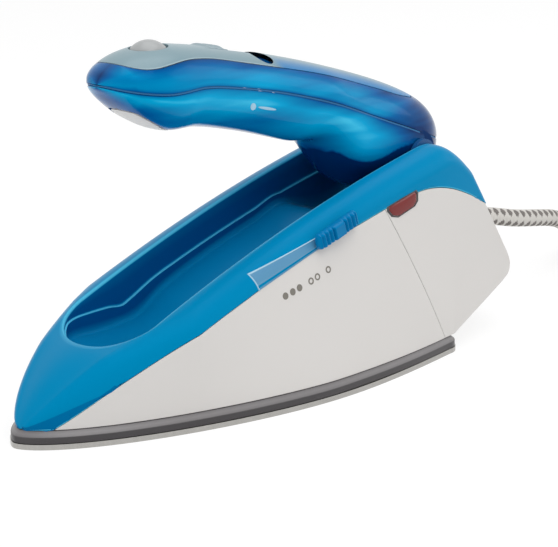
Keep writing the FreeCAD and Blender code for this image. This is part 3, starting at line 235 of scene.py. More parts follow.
def hull_top(x):
    """Height of the hull's top line before the ears are rounded off."""
    x = np.asarray(x, float)
    share = np.clip((x - NOSE_START) / (NOSE - NOSE_START), 0, 1)
    nose = SKIRT_TOP + (rim_height(NOSE_START) - SKIRT_TOP) * (1 - share ** 1.1) ** 0.75
    return np.where(x > NOSE_START, nose, rim_height(x))


def ridge(x):
    """Height of the hull's top line: nose, rim, rounded ear and sloping rear face."""
    x = np.asarray(x, float)
    face = EAR_FOOT + REAR_SLOPE * (x - EAR_BACK)
    ear = through(EAR_ARCH, x)
    return np.where(x > EAR_FRONT, hull_top(x), np.where(x > EAR_BACK, ear, face))


def base_half(x):
    """Half-width of the hull at its lower edge."""
    x = np.asarray(x, float)
    start = TAIL + TAIL_ROUNDING
    return sole_half(np.maximum(x, start), HULL_INSET, NOSE) - 0.13 * np.maximum(start - x, 0)


def side_half(x):
    """Half-width of the hull where its side turns into the rim."""
    narrow = np.maximum(0, (-np.asarray(x, float) - 75.0) / 56.0)
    return np.minimum(base_half(x) + 0.5, RIM_HALF * (1 - 0.15 * narrow ** 2))


def shoulder_drop(top):
    """Drop of the rounded shoulder below a top line, ahead of the ears."""
    return np.minimum(9.0, 0.45 * (top - SKIRT_TOP))


def side_line(x, z):
    """Half-width on the hull's leaning side: a straight line from the base to the waist."""
    top = hull_top(x)
    waist = top - shoulder_drop(top)
    share = np.clip((z - SKIRT_TOP) / np.maximum(waist - SKIRT_TOP, 0.01), 0, 1)
    return base_half(x) + (side_half(x) - base_half(x)) * share


def shoulder(x):
    """Crown half-width, waist half-width and drop of the rounded shoulder at a station."""
    top = ridge(x)
    rear = ease(-np.asarray(x, float), 80.0, 104.0)
    drop = (1 - rear) * shoulder_drop(top) + rear * REAR_SLOPE * REAR_CORNER
    waist = side_line(x, top - drop)
    crown = np.minimum(WELL_HALF + 0.6, 0.72 * side_half(x))
    return (1 - rear) * crown + rear * (waist - REAR_CORNER), waist, drop


def hull_side(x, z):
    """Half-width of the hull's outer face at a height: leaning side, then the rounded shoulder."""
    crown, waist, drop = shoulder(x)
    bent = crown + (waist - crown) * quarter((ridge(x) - z) / np.maximum(drop, 0.01))
    return np.where(z < ridge(x) - drop, side_line(x, z), bent)


def hull_height(x, y):
    """Height of the hull's upper face over a plan point: flat crown, then a quarter round.

    Over the nose the crown is lifted by a low dome.
    """
    crown, waist, drop = shoulder(x)
    across = np.clip((np.abs(y) - crown) / np.maximum(waist - crown, 0.01), 0, 1)
    lift = 1.1 * ease(x, 56.0, 72.0) * np.clip((ridge(x) - SKIRT_TOP) / 12.0, 0, 1)
    dome = lift * (1 - np.clip(np.abs(y) / np.maximum(crown, 0.01), 0, 1) ** 2) ** 2
    return ridge(x) + dome - drop * (1 - np.sqrt(1 - across ** 2))


def folded(table):
    """Side-view line of a handle table's rows ahead of the hinge, with the handle folded down."""
    rows = np.array([row for row in table if row[0] >= -76], float)
    dx, dz = rows[:, 0] - HINGE[0], rows[:, 1] - HINGE[2]
    x = HINGE[0] + dx * math.cos(FOLD) + dz * math.sin(FOLD)
    z = HINGE[2] - dx * math.sin(FOLD) + dz * math.cos(FOLD)
    return x, z


def well_floor(x):
    """Height of the well's floor: a little under the folded handle, then out over the rear face.

    It meets the rear face in a smooth minimum behind x = -100, and in a plain one ahead of it.
    """
    clear, blend = 1.5, 0.8
    fx, fz = folded(HANDLE_BOTTOM)
    keep = fx <= fx[np.argmin(fz)]
    low = fz.min() - clear
    rows = [(90.0, low), (62.0, low)] + list(zip(fx[keep], fz[keep] - clear))
    rows += [(-90.0, 57.5), (-100.0, 60.5), (-120.0, 62.4), (-141.0, 64.5)]
    floor = through(rows, x)
    face = ridge(x)
    smooth = np.sqrt((floor - face) ** 2 + blend ** 2)
    plain = np.where(np.asarray(x) > -100, 0.5 * (smooth - np.abs(floor - face)), 0.0)
    return 0.5 * (floor + face - smooth) + plain


def handle_sweep(x):
    """Angle whose cosine runs along the handle, so that both of its ends come out round."""
    return np.arccos(np.clip((np.asarray(x, float) - HANDLE_MIDDLE) / HANDLE_REACH, -1, 1))


def handle_table(table, sweep):
    """Value of a handle table at sweep angles from the tip (0) to the hinge end (pi)."""
    return through([(float(handle_sweep(x)), v) for x, v in table], sweep)


def handle_point(sweep, turn, inset=0.0):
    """Point on the handle's skin: a superellipse across each station.

    Turn runs from -90 degrees underneath, over 0 at the +Y side, to 90 degrees on top.
    """
    x = HANDLE_MIDDLE + (HANDLE_REACH - inset) * np.cos(sweep)
    top = handle_table(HANDLE_TOP, sweep) - inset
    bottom = handle_table(HANDLE_BOTTOM, sweep) + inset
    half = np.maximum(handle_table(HANDLE_HALF, sweep) - inset, 0)
    rise = np.maximum((top - bottom) / 2, 0)
    s, c = np.sin(turn), np.cos(turn)
    y = half * np.sign(c) * np.abs(c) ** SKIN_POWER
    z = (top + bottom) / 2 + rise * np.sign(s) * np.abs(s) ** SKIN_POWER
    return np.stack(np.broadcast_arrays(x, y, z), axis=-1)


def turn_at(sweep, height):
    """Turn at which the handle's skin at a sweep angle reaches a height, clipped to its range."""
    top, bottom = handle_table(HANDLE_TOP, sweep), handle_table(HANDLE_BOTTOM, sweep)
    v = np.clip((height - (top + bottom) / 2) / np.maximum((top - bottom) / 2, 1e-6), -1, 1)
    return np.arcsin(np.sign(v) * np.abs(v) ** (1 / SKIN_POWER))


# ---------------------------------------------------------------------------------------
# Meshes
# ---------------------------------------------------------------------------------------

def grid_quads(rows, columns, start=0):
    """Corner numbers of the quads between neighbouring rows and columns of a point grid."""
    index = np.arange(rows * columns).reshape(rows, columns) + start
    quads = np.stack([index[:-1, :-1], index[1:, :-1], index[1:, 1:], index[:-1, 1:]], axis=-1)
    return quads.reshape(-1, 4)


def fill_mesh(mesh, points, quads, painted_light=None):
    """Put points in millimetres and quads into a mesh in metres, with optional painted light and shade per
    point.
    """
    mesh.vertices.add(len(points))
    mesh.vertices.foreach_set("co", np.ascontiguousarray(points * MM, np.float32).ravel())
    mesh.loops.add(quads.size)
    mesh.loops.foreach_set("vertex_index", quads.ravel().astype(np.int32))
    mesh.polygons.add(len(quads))
    mesh.polygons.foreach_set("loop_start", np.arange(0, quads.size, 4, dtype=np.int32))
    mesh.update(calc_edges=True)
    # Painted light per point: above 0 a painted highlight, below 0 painted shade
    if painted_light is not None:
        layer = mesh.attributes.new("painted_light", "FLOAT", "POINT")
        layer.data.foreach_set("value", np.ascontiguousarray(painted_light, np.float32).ravel())


@contextmanager
def editing(mesh):
    """BMesh of a mesh, written back to it at the end."""
    work = bmesh.new()
    work.from_mesh(mesh)
    yield work
    work.to_mesh(mesh)
    work.free()


def linked(name, data):
    """New object of some data, linked to the scene."""
    obj = bpy.data.objects.new(name, data)
    bpy.context.scene.collection.objects.link(obj)
    return obj


def grid_piece(name, grids, painted_lights=None, inside=(0, 0, -200)):
    """Object made of point grids, doubles merged and faces turned away from an inside point."""
    mesh = bpy.data.meshes.new(name)
    points, quads, values, start = [], [], [], 0
    for number, grid in enumerate(grids):
        rows, columns = grid.shape[:2]
        points.append(grid.reshape(-1, 3))
        quads.append(grid_quads(rows, columns, start))
        painted_light = 0.0 if painted_lights is None else painted_lights[number]
        values.append(np.broadcast_to(painted_light, (rows, columns)).reshape(-1))
        start += rows * columns
    fill_mesh(mesh, np.concatenate(points), np.concatenate(quads), np.concatenate(values))
    middle = Vector(inside) * MM
    with editing(mesh) as work:
        bmesh.ops.remove_doubles(work, verts=work.verts, dist=2e-6)
        bmesh.ops.dissolve_degenerate(work, edges=work.edges, dist=1e-7)
        bmesh.ops.recalc_face_normals(work, faces=work.faces)
        outward = sum((f.calc_center_median() - middle).dot(f.normal) * f.calc_area() for f in work.faces)
        if outward < 0:
            bmesh.ops.reverse_faces(work, faces=work.faces)
    return linked(name, mesh)


def both_sides(grid):
    """A point grid and its mirror image across the object's middle plane."""
    return [grid, grid * np.array([1.0, -1.0, 1.0])]


def settle(obj, smooth=35.0):
    """Apply an object's modifiers to its mesh, shade it smooth and keep edges over an angle sharp."""
    if obj.modifiers:
        bpy.context.view_layer.update()
        evaluated = obj.evaluated_get(bpy.context.evaluated_depsgraph_get())
        mesh = bpy.data.meshes.new_from_object(evaluated)
        obj.modifiers.clear()
        obj.data = mesh
    mesh = obj.data
    mesh.polygons.foreach_set("use_smooth", np.ones(len(mesh.polygons), bool))
    mesh.set_sharp_from_angle(angle=math.radians(smooth))
    return obj


def thicken(obj, thickness, edge=0.0):
    """Give a skin a wall on its inner side and round its edges."""
    wall = obj.modifiers.new("wall", "SOLIDIFY")
    wall.thickness = thickness * MM
    wall.offset = -1.0
    wall.use_even_offset = False
    if edge:
        round_edges(obj, edge)
    return obj


def round_edges(obj, width):
    """Round every edge sharper than 40 degrees."""
    soft = obj.modifiers.new("edges", "BEVEL")
    soft.width = width * MM
    soft.segments = 2
    soft.limit_method = "ANGLE"
    soft.angle_limit = math.radians(40.0)
    soft.use_clamp_overlap = True
    return obj


def skin(name, grids, painted_lights, inside, wall, edge=0.0, smooth=35.0):
    """Piece with a wall behind the point grids of its outer face."""
    obj = grid_piece(name, grids, painted_lights, inside)
    thicken(obj, wall, edge)
    return settle(obj, smooth)


def cut_away(obj, *cutters):
    """Cut other objects out of one and delete them."""
    for cutter in cutters:
        cut = obj.modifiers.new("cut", "BOOLEAN")
        cut.operation = "DIFFERENCE"
        cut.solver = "EXACT"
        cut.object = cutter
        settle(obj)
        bpy.data.objects.remove(cutter)
    return obj


def turned(name, profile, segments=64):
    """Closed piece turned about the Z axis from a profile of (radius, height) rows."""
    profile = np.array(profile, float)
    angle = np.linspace(0, 2 * math.pi, segments + 1)
    radius, height = profile[:, 0][:, None], profile[:, 1][:, None]
    grid = np.stack(np.broadcast_arrays(
        radius * np.cos(angle), radius * np.sin(angle), height + 0 * angle), axis=-1)
    middle = profile[:, 1].mean()
    return grid_piece(name, [grid], inside=(0, 0, middle))


def put(obj, matrix):
    """Move an object's mesh, drawn in millimetres about the origin, by a placement in millimetres."""
    scaled = matrix.copy()
    scaled.translation = matrix.translation * MM
    obj.data.transform(scaled)
    return obj


def lofted(name, outline, rows):
    """Closed piece from an outline function of a row's first value, between flat end caps.

    Each row is (inset, height); the outline gives a closed ring of plan points for an inset.
    """
    rings = []
    for inset, height in rows:
        ring = outline(inset)
        rings.append(np.column_stack([ring, np.full(len(ring), height)]))
    return grid_piece(name, [np.array(rings)])


def finish_piece(obj, body, slot, maker, *replaced):
    """Material, frame body and the CAD nodes that a piece stands for; the material slot is not used."""
    obj.data.materials.clear()
    obj.data.materials.append(once(maker))
    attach(obj, body)
    if replaced:
        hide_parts(*replaced)
    return obj


# ---------------------------------------------------------------------------------------
# Materials
# ---------------------------------------------------------------------------------------

def once(maker):
    """Material of a maker function, which bears its name, made the first time it is asked for."""
    return bpy.data.materials.get(maker.__name__) or maker()


def linear(colour):
    """Linear RGBA of an sRGB hex colour or of a colour property's own values."""
    if isinstance(colour, str):
        values = [int(colour[i:i + 2], 16) / 255 for i in (1, 3, 5)]
        values = [c / 12.92 if c <= 0.04045 else ((c + 0.055) / 1.055) ** 2.4 for c in values]
    else:
        values = list(colour)[:3]
    return (*values, 1.0)


def darker(colour, share):
    """Linear RGBA of a colour with a share of its light taken away."""
    return (*[c * (1 - share) for c in linear(colour)[:3]], 1.0)


def feed(tree, made, **inputs):
    """Give a shader node's inputs their values or other nodes' outputs.

    An input's name stands for the socket of that name, with underscores for spaces, or input_N.
    """
    for key, value in inputs.items():
        number = key.removeprefix("input_")
        socket = made.inputs[int(number)] if number.isdigit() else made.inputs[key.replace("_", " ")]
        if isinstance(value, bpy.types.NodeSocket):
            tree.links.new(value, socket)
        else:
            socket.default_value = value


def node(tree, kind, settings=(), **inputs):
    """Add a shader node with its settings and inputs."""
    made = tree.nodes.new(kind)
    for key, value in dict(settings).items():
        setattr(made, key, value)
    feed(tree, made, **inputs)
    return made


def empty_tree(owner):
    """Node tree of a material or world, cleared."""
    owner.use_nodes = True
    owner.node_tree.nodes.clear()
    return owner.node_tree


def start_material(name, **shader):
    """New material with one Principled shader; its fixed values go straight onto the sockets."""
    material = bpy.data.materials.new(name)
    tree = empty_tree(material)
    surface = node(tree, "ShaderNodeBsdfPrincipled", **shader)
    node(tree, "ShaderNodeOutputMaterial", Surface=surface.outputs[0])
    return material, tree, surface


def unevenness(tree, cycles, detail=2.0, stretch=(1, 1, 1)):
    """Cloudy pattern fixed to the object, in cycles per metre, finer along the stretched axes."""
    place = node(tree, "ShaderNodeTexCoord")
    shaped = node(tree, "ShaderNodeMapping", Vector=place.outputs["Object"], Scale=stretch)
    cloud = node(tree, "ShaderNodeTexNoise", Vector=shaped.outputs[0], Scale=cycles, Detail=detail)
    return cloud.outputs[0]


def moulded(name, colour, roughness, edge=None, deep=None, mottle=0.06, grain=900.0, bump=0.04, **more):
    """Moulded plastic: faint uneven colour and fine grain.

    Above 0 the painted light attribute paints a highlight in the edge colour; below 0 it paints shade in the
    deep colour.
    """
    material, tree, surface = start_material(name, IOR=1.5, **more)
    shade = node(tree, "ShaderNodeMix", {"data_type": "RGBA"}, Factor=unevenness(tree, 35.0),
                 input_6=darker(colour, mottle), input_7=linear(colour))
    tone = shade.outputs[2]
    # Painted highlight towards the edge colour, painted shade towards the deep colour
    for other, sign in ((edge, 1.0), (deep, -1.0)):
        if other:
            mark = node(tree, "ShaderNodeAttribute", {"attribute_name": "painted_light"})
            share = node(tree, "ShaderNodeMath", {"operation": "MULTIPLY"},
                         input_0=mark.outputs["Fac"], input_1=sign)
            lit = node(tree, "ShaderNodeMix", {"data_type": "RGBA"}, Factor=share.outputs[0],
                       input_6=tone, input_7=linear(other))
            tone = lit.outputs[2]
    fine = unevenness(tree, grain, 3.0)
    rough = node(tree, "ShaderNodeMapRange", Value=fine, To_Min=roughness * 0.85, To_Max=roughness * 1.15)
    relief = node(tree, "ShaderNodeBump", Height=fine, Strength=bump, Distance=0.0002)
    feed(tree, surface, Base_Color=tone, Roughness=rough.outputs[0], Normal=relief.outputs[0])
    return material


def metal(name, colour, roughness, stretch=(1, 1, 1), cycles=300.0):
    """Bare metal: its finish runs in streaks along the unstretched axes of the pattern."""
    material, tree, surface = start_material(name, Metallic=1.0)
    lines = unevenness(tree, cycles, 3.0, stretch)
    shade = node(tree, "ShaderNodeMix", {"data_type": "RGBA"}, Factor=lines,
                 input_6=darker(colour, 0.2), input_7=linear(colour))
    rough = node(tree, "ShaderNodeMapRange", Value=lines, To_Min=roughness * 0.7, To_Max=roughness * 1.3)
    feed(tree, surface, Base_Color=shade.outputs[2], Roughness=rough.outputs[0])
    return material


# ---------------------------------------------------------------------------------------
# Hull pieces
# ---------------------------------------------------------------------------------------

def columns(*arrays):
    """Point grid from blocks of columns, each given as x, y and z arrays over the same rows."""
    blocks = [np.stack(np.broadcast_arrays(*block), axis=-1) for block in arrays]
    return np.concatenate(blocks, axis=1)


def shell_grid(lip, fillet, step, gap):
    """Half of the upper shell as one grid: well floor, walls and ledge, rounded lip, rim and side.

    Rows run along the well's edge from the rear face to its rounded front. Each row's columns
    climb from the floor's middle line to the lip, cross the rim on a straight plan line, and
    drop down the side to the seam with the housing.
    """
    straight = np.concatenate([np.linspace(*run) for run in WELL_STATIONS])
    round_front = np.linspace(0, math.pi / 2, 60)[1:]
    s, c = np.sin(round_front), np.cos(round_front)
    edge_x = np.concatenate([straight, WELL_NOSE_MIDDLE + WELL_NOSE_REACH * s])[:, None]
    edge_y = np.concatenate([0 * straight + WELL_HALF, WELL_HALF * c])[:, None]
    normal = np.stack([s / WELL_NOSE_REACH, c / WELL_HALF])
    normal = normal / np.linalg.norm(normal, axis=0)
    nx = np.concatenate([0 * straight, normal[0]])[:, None]
    ny = np.concatenate([0 * straight + 1, normal[1]])[:, None]
    out_x = np.concatenate([straight, WELL_NOSE_MIDDLE + (NOSE - WELL_NOSE_MIDDLE) * s])[:, None]

    # Where the well is shallow, its lip, fillet and step shrink with it
    floor = well_floor(edge_x)
    tall = np.maximum(hull_height(edge_x + nx * lip, edge_y + ny * lip) - floor, 0)
    lip = np.minimum(lip, 0.4 * tall)
    fillet = np.minimum(fillet, 0.25 * tall)
    step = np.minimum(step, 0.08 * tall)
    start_x, start_y = edge_x + nx * lip, edge_y + ny * lip
    top = hull_height(start_x, start_y)
    ledge = np.clip(through(LEDGE, edge_x), floor + fillet + 0.15 * tall, top - lip - 0.12 * tall)

    # Floor from the middle line to the fillet's foot, then the fillet
    foot_x, foot_y = edge_x - nx * (step + fillet), edge_y - ny * (step + fillet)
    middle_x = np.minimum(edge_x, WELL_NOSE_MIDDLE)
    k = np.linspace(0, 1, 16)
    floor_x, floor_y = middle_x + (foot_x - middle_x) * k, foot_y * k
    bend = np.radians([75, 60, 45, 30, 15, 0])
    off = step + fillet * (1 - np.cos(bend))
    bend_x, bend_y = edge_x - nx * off, edge_y - ny * off

    # Low wall, ledge and high wall, as shares of their runs, then the lip's curl
    up = np.array([0.34, 0.67, 0.94, 1.0])
    low_wall = floor + fillet + (ledge - floor - fillet) * up
    shelf = np.array([0.96, 0.85, 0.15, 0.02])
    shelf_rise = np.array([0.0, 0.04, 0.1, 0.22])
    shelf_top = 0.3
    high = np.array([0.06, 0.3, 0.6, 1.0])
    high_wall = ledge + shelf_top + (top - lip - ledge - shelf_top) * high
    curl = np.radians([72, 54, 36, 18, 0])
    lip_off, lip_z = lip * (1 - np.sin(curl)), top - lip * (1 - np.cos(curl))

    # Rim out to the shoulder, then the side down to the seam; both close on the nose's tip
    crown, waist, drop = shoulder(out_x)
    tip = quarter((NOSE - out_x) / 0.8)
    bottom = np.maximum(through(SEAM, out_x) + gap, SKIRT_TOP + 0.05)
    reach = quarter((ridge(out_x) - bottom) / np.maximum(drop, 0.01))
    waist_y = (crown + (waist - crown) * reach) * tip
    q = 1 - (1 - np.linspace(0, 1, 30)[1:]) ** 2
    face_x, face_y = start_x + (out_x - start_x) * q, start_y + (waist_y - start_y) * q
    side_top = np.maximum(ridge(out_x) - drop, bottom)
    rim_z = np.maximum(hull_height(face_x, face_y), bottom)
    rim_z[:, -1:] = side_top
    q = np.array([0.1, 0.2, 0.3, 0.4, 0.5, 0.6, 0.7, 0.8, 0.87, 0.92])
    side_z = np.concatenate([
        side_top + (bottom - side_top) * q,
        np.minimum(bottom + 0.5, side_top), np.minimum(bottom + 0.3, side_top), bottom], axis=1)
    side_y = np.where(side_top > bottom, side_line(out_x, side_z) * tip, waist_y)
    grid = columns(
        (floor_x, floor_y, well_floor(floor_x)),
        (bend_x, bend_y, well_floor(bend_x) + fillet * (1 - np.sin(bend))),
        (edge_x - nx * step, edge_y - ny * step, low_wall),
        (edge_x - nx * step * shelf, edge_y - ny * step * shelf, ledge + shelf_rise),
        (edge_x, edge_y, high_wall),
        (edge_x + nx * lip_off, edge_y + ny * lip_off, lip_z),
        (face_x, face_y, rim_z),
        (out_x, side_y, side_z),
    )
    widths = [len(k), len(bend), len(up), len(shelf), len(high), len(curl), face_x.shape[1], side_z.shape[1]]
    return grid, shell_tint(np.cumsum(widths), tall, out_x)


def shell_tint(marks, tall, out_x):
    """Painted light of the shell's columns, whose blocks end at the marks: painted shade down the well,
    painted highlights along the thin edges.
    """
    painted_light = np.zeros(marks[-1])
    floor, low_wall, shelf, high_wall, lip, rim, side = marks[1:]
    # Painted shade on the well's floor and walls
    painted_light[:floor] = -0.3
    painted_light[floor:high_wall] = -0.85
    # Painted highlights along the ledge and round the lip
    painted_light[low_wall - 1:shelf] = [0.5, 0.95, 0.95, 0.95, 0.4]
    painted_light[high_wall - 1:lip + 1] = [-0.6, 0.5, 1.0, 1.0, 0.9, 0.35, 0.0]
    # Painted highlight along the seam with the housing
    painted_light[side - 2:] = [0.6, 1.0]
    strength = np.clip(tall / 4.0, 0, 1)
    painted_light = painted_light * np.where(np.arange(len(painted_light)) < lip + 1, strength, 1.0)
    # Painted shade on the rim and side, growing towards the nose
    painted_light[:, rim:-2] -= 0.5 * ease(out_x, 15.0, 55.0)
    return painted_light


def cover_joint(z):
    """Station of the joint between housing and rear cover at a height."""
    return JOINT_X - (JOINT_Z - z) * JOINT_LEAN


def housing_grid(gap):
    """One side of the lower housing: the hull's leaning side between the seam and the skirt.

    Rows crowd towards the front. The rear edge leans, so stations and heights are found in turns.
    """
    u = np.linspace(0, 1, 150)[:, None]
    q = np.concatenate([[0, 0.008, 0.03], np.linspace(0.06, 0.94, 26), [0.97, 0.992, 1]])[None, :]
    front = 80.6
    x = front + (-58.0 - front) * u + 0 * q
    for _ in range(12):
        top = np.maximum(through(SEAM, x) - gap, SKIRT_TOP + 0.1)
        z = top + (SKIRT_TOP + FOOT_GAP - top) * q
        x = front + (cover_joint(z) + gap - front) * (1 - (1 - u) ** 1.15)
    return np.stack([x, hull_side(x, z), z], axis=-1)


def cover_grid(gap, corner):
    """Half of the rear cover, wrapped round the heel: side, rounded upright corner, rear face.

    Its front edge leans and its top edge follows the seam, so both are found in turns.
    """
    q = np.concatenate([np.linspace(0, 0.32, 34), np.linspace(0.34, 0.97, 34), [0.985, 0.995, 1]])[:, None]
    side = np.linspace(0, 1, 44)[None, :]
    bend = np.linspace(0, math.pi / 2, 12)[None, 1:]
    z_side = SKIRT_TOP + 50 * q + 0 * side
    z_bend = SKIRT_TOP + 44 * q + 0 * bend
    for _ in range(14):
        start = cover_joint(z_side) - gap
        rear = through(REAR_OUTLINE, z_side)
        side_x = start + (rear + corner - start) * side
        z_side = SKIRT_TOP + FOOT_GAP + (through(SEAM, side_x) - gap - SKIRT_TOP - FOOT_GAP) * q
        bend_x = through(REAR_OUTLINE, z_bend) + corner * (1 - np.sin(bend))
        z_bend = SKIRT_TOP + FOOT_GAP + (through(SEAM, bend_x) - gap - SKIRT_TOP - FOOT_GAP) * q
    y_side = hull_side(side_x, z_side)
    y_bend = hull_side(bend_x, z_bend) - corner * (1 - np.cos(bend))
    share = np.linspace(1, 0, 18)[None, 1:]
    x_rear, z_rear = bend_x[:, -1:] + 0 * share, z_bend[:, -1:] + 0 * share
    y_rear = y_bend[:, -1:] * share
    return columns((side_x, y_side, z_side), (bend_x, y_bend, z_bend), (x_rear, y_rear, z_rear))


def sole_ring(inset):
    """Plan outline of the sole as one closed ring, drawn in by an inset, corners rounded."""
    front, tail, corner = TOE - inset, TAIL + inset, SOLE_CORNER
    t = np.linspace(0, 1, 110)
    x = front - (front - tail - corner) * t ** 1.9
    y = sole_half(x, inset, front)
    bend = np.linspace(0, math.pi / 2, 10)[1:]
    x = np.concatenate([x, tail + corner - corner * np.sin(bend)])
    y = np.concatenate([y, y[-1] - corner * (1 - np.cos(bend))])
    half = np.column_stack([x, y])
    return np.concatenate([half, half[::-1] * [1, -1]])


# ---------------------------------------------------------------------------------------
# Handle pieces
# ---------------------------------------------------------------------------------------

def sweep_x(sweep):
    """Station on the handle of a sweep angle."""
    return HANDLE_MIDDLE + HANDLE_REACH * np.cos(sweep)


def band(sweep, low, high, count, inset=0.0, crowd=True):
    """Skin of the handle between two turn limits given at each sweep angle."""
    k = np.linspace(0, 1, count)
    if crowd:
        k = np.concatenate([[0, 0.4 / count], k[1:-1], [1 - 0.4 / count, 1]])
    turn = low[:, None] + (high - low)[:, None] * k[None, :]
    return handle_point(sweep[:, None] + 0 * turn, turn, inset)


def between(start, end, count):
    """Values from start to end, closer together near both ends."""
    return start + (end - start) * (1 - np.cos(np.linspace(0, math.pi, count))) / 2


def sweeps_where(test, count):
    """Sweep angles over the run of the handle where a test on dense sweep angles holds."""
    dense = np.linspace(0.0, math.pi, 6001)
    held = dense[test(dense)]
    return between(held[0], held[-1], count)


def line_turn(table, sweep, lift=0.0):
    """Turn at which the handle's skin meets a side-view line, moved up by a lift."""
    return turn_at(sweep, through(table, sweep_x(sweep)) + lift)


def panel_band(gap):
    """Top panel's skin, over the top from edge to edge."""
    sweep = sweeps_where(lambda s: line_turn(PANEL_EDGE, s) < TOP_TURN - 1e-3, 200)
    low = line_turn(PANEL_EDGE, sweep, gap)
    k = np.abs(np.linspace(-1, 1, 72))[None, :]
    # Painted shade down the sides of the rear part, painted highlights along the front edges
    rear = ease(-sweep_x(sweep), 17.0, 24.0)[:, None]
    painted_light = -rear * ease(k, 0.25, 0.95) + (1 - rear) * 0.5 * ease(k, 0.93, 0.97)
    return band(sweep, low, math.pi - low, 70), painted_light


def tank_upper_bands(gap, groove):
    """Both sides of the tank's upper half, from the seal's groove to the panel's edge."""
    sweep = sweeps_where(lambda s: line_turn(TANK_SEAM, s, groove) < TOP_TURN - 1e-3, 260)
    low, high = line_turn(TANK_SEAM, sweep, groove), line_turn(PANEL_EDGE, sweep, -gap)
    k = np.linspace(0, 1, 28)[None, :]
    # Painted light across the upper half, fading into painted shade towards the hinge
    painted_light = np.interp(k, [0, 0.06, 0.14, 0.5, 0.8, 1], [0.2, 0.35, 0.6, 0.6, 0.35, 0.15])
    return both_sides(band(sweep, np.minimum(low, high), high, 26)), [painted_light * hinge_shade(sweep)] * 2


def tank_lower_bands(gap, groove):
    """Both sides of the tank's lower half, from the insert's edge or the keel to the groove."""
    sweep = between(0.0, math.pi, 300)
    low, high = line_turn(INSERT_EDGE, sweep, gap), line_turn(TANK_SEAM, sweep, -groove)
    k = np.linspace(0, 1, 42)[None, :]
    # Painted light across the lower half, with painted shade under the hinge line
    painted_light = np.interp(k, [0, 0.3, 0.5, 0.68, 0.86, 0.95, 1], [0.3, 0.42, 0.55, 0.7, 0.88, 0.5, 0.2])
    grid = band(sweep, low, high, 40)
    under = ease(through(HINGE_LINE, grid[..., 0]) - grid[..., 2], -0.5, 0.7)
    painted_light = painted_light * hinge_shade(sweep) * (1 - under) - 0.25 * under
    return both_sides(grid), [painted_light] * 2


def hinge_shade(sweep):
    """Share of the tank's light that is left towards the hinge, where the walls back each other."""
    return (1 - 0.75 * ease(-sweep_x(sweep), 55.0, 90.0))[:, None]


def seal_bands(groove, sink):
    """Both sides of the seal between the tank's halves, a little below the skin."""
    sweep = between(0.02, math.pi - 0.02, 260)
    low, high = line_turn(TANK_SEAM, sweep, -groove), line_turn(TANK_SEAM, sweep, groove)
    return both_sides(band(sweep, low, high, 4, sink, crowd=False))


def insert_band(gap):
    """Grip insert's skin, round the underside of the handle's front."""
    sweep = sweeps_where(lambda s: line_turn(INSERT_EDGE, s) > 1e-3 - TOP_TURN, 90)
    high = line_turn(INSERT_EDGE, sweep, -gap)
    return band(sweep, -math.pi - high, high, 40)


def bar(name, length, width, height, rounding, steps=10):
    """Closed bar with rounded plan corners and a rounded top, standing on z = 0."""
    def ring(inset):
        a, b = length / 2 - inset, width / 2 - inset
        r = max(min(rounding - inset, a, b), 0.05)
        t = np.linspace(0, math.pi / 2, steps)
        corners = []
        for quarter_turn, (sx, sy) in enumerate([(1, 1), (-1, 1), (-1, -1), (1, -1)]):
            angle = t + quarter_turn * math.pi / 2
            corners.append(np.column_stack([
                sx * (a - r) + r * np.cos(angle), sy * (b - r) + r * np.sin(angle)]))
        loop = np.concatenate(corners)
        return np.concatenate([loop, loop[:1]])
    edge = min(rounding, height / 2, width / 2) * 0.5
    middle = width / 2 - 0.06
    bend = np.linspace(0, math.pi / 2, 5)
    rows = [(middle, 0.0), (0.0, 0.0)]
    rows += [(edge * (1 - math.cos(a)), height - edge + edge * math.sin(a)) for a in bend]
    rows += [(middle, height)]
    return lofted(name, ring, rows)


# ---------------------------------------------------------------------------------------
# Supply cord
# ---------------------------------------------------------------------------------------

def cord_points():
    """Control points of the lead: its route, the stored coil's turns, then the plug's tail.

    A turn of the coil is a circle whose distance from the middle and height follow COIL_TURNS;
    it starts under the route's last point and winds clockwise seen from above.
    """
    turns = np.arange(0.08, 5.97, 1 / 14)
    angle = -math.pi / 2 - 2 * math.pi * turns
    rows = np.array(COIL_TURNS)
    radius = np.interp(turns, rows[:, 0], rows[:, 1])
    height = np.interp(turns, rows[:, 0], rows[:, 2])
    coil = np.column_stack([
        COIL_MIDDLE[0] + radius * np.cos(angle), COIL_MIDDLE[1] + radius * np.sin(angle), height])
    return np.concatenate([np.array(CORD_ROUTE), coil, np.array(PLUG_TAIL_ROUTE)])


def cord_line(points):
    """Points along the smooth open spline that has the given control points, in millimetres."""
    curve = bpy.data.curves.new("lead_line", "CURVE")
    curve.dimensions = "3D"
    spline = curve.splines.new("NURBS")
    spline.points.add(len(points) - 1)
    spline.points.foreach_set("co", np.column_stack([points * MM, np.ones(len(points))]).ravel())
    spline.order_u = 3
    spline.use_endpoint_u = True
    spline.resolution_u = 12
    holder = linked("lead_line", curve)
    mesh = bpy.data.meshes.new_from_object(holder)
    line = np.empty(len(mesh.vertices) * 3)
    mesh.vertices.foreach_get("co", line)
    bpy.data.objects.remove(holder)
    bpy.data.curves.remove(curve)
    bpy.data.meshes.remove(mesh)
    return line.reshape(-1, 3) / MM


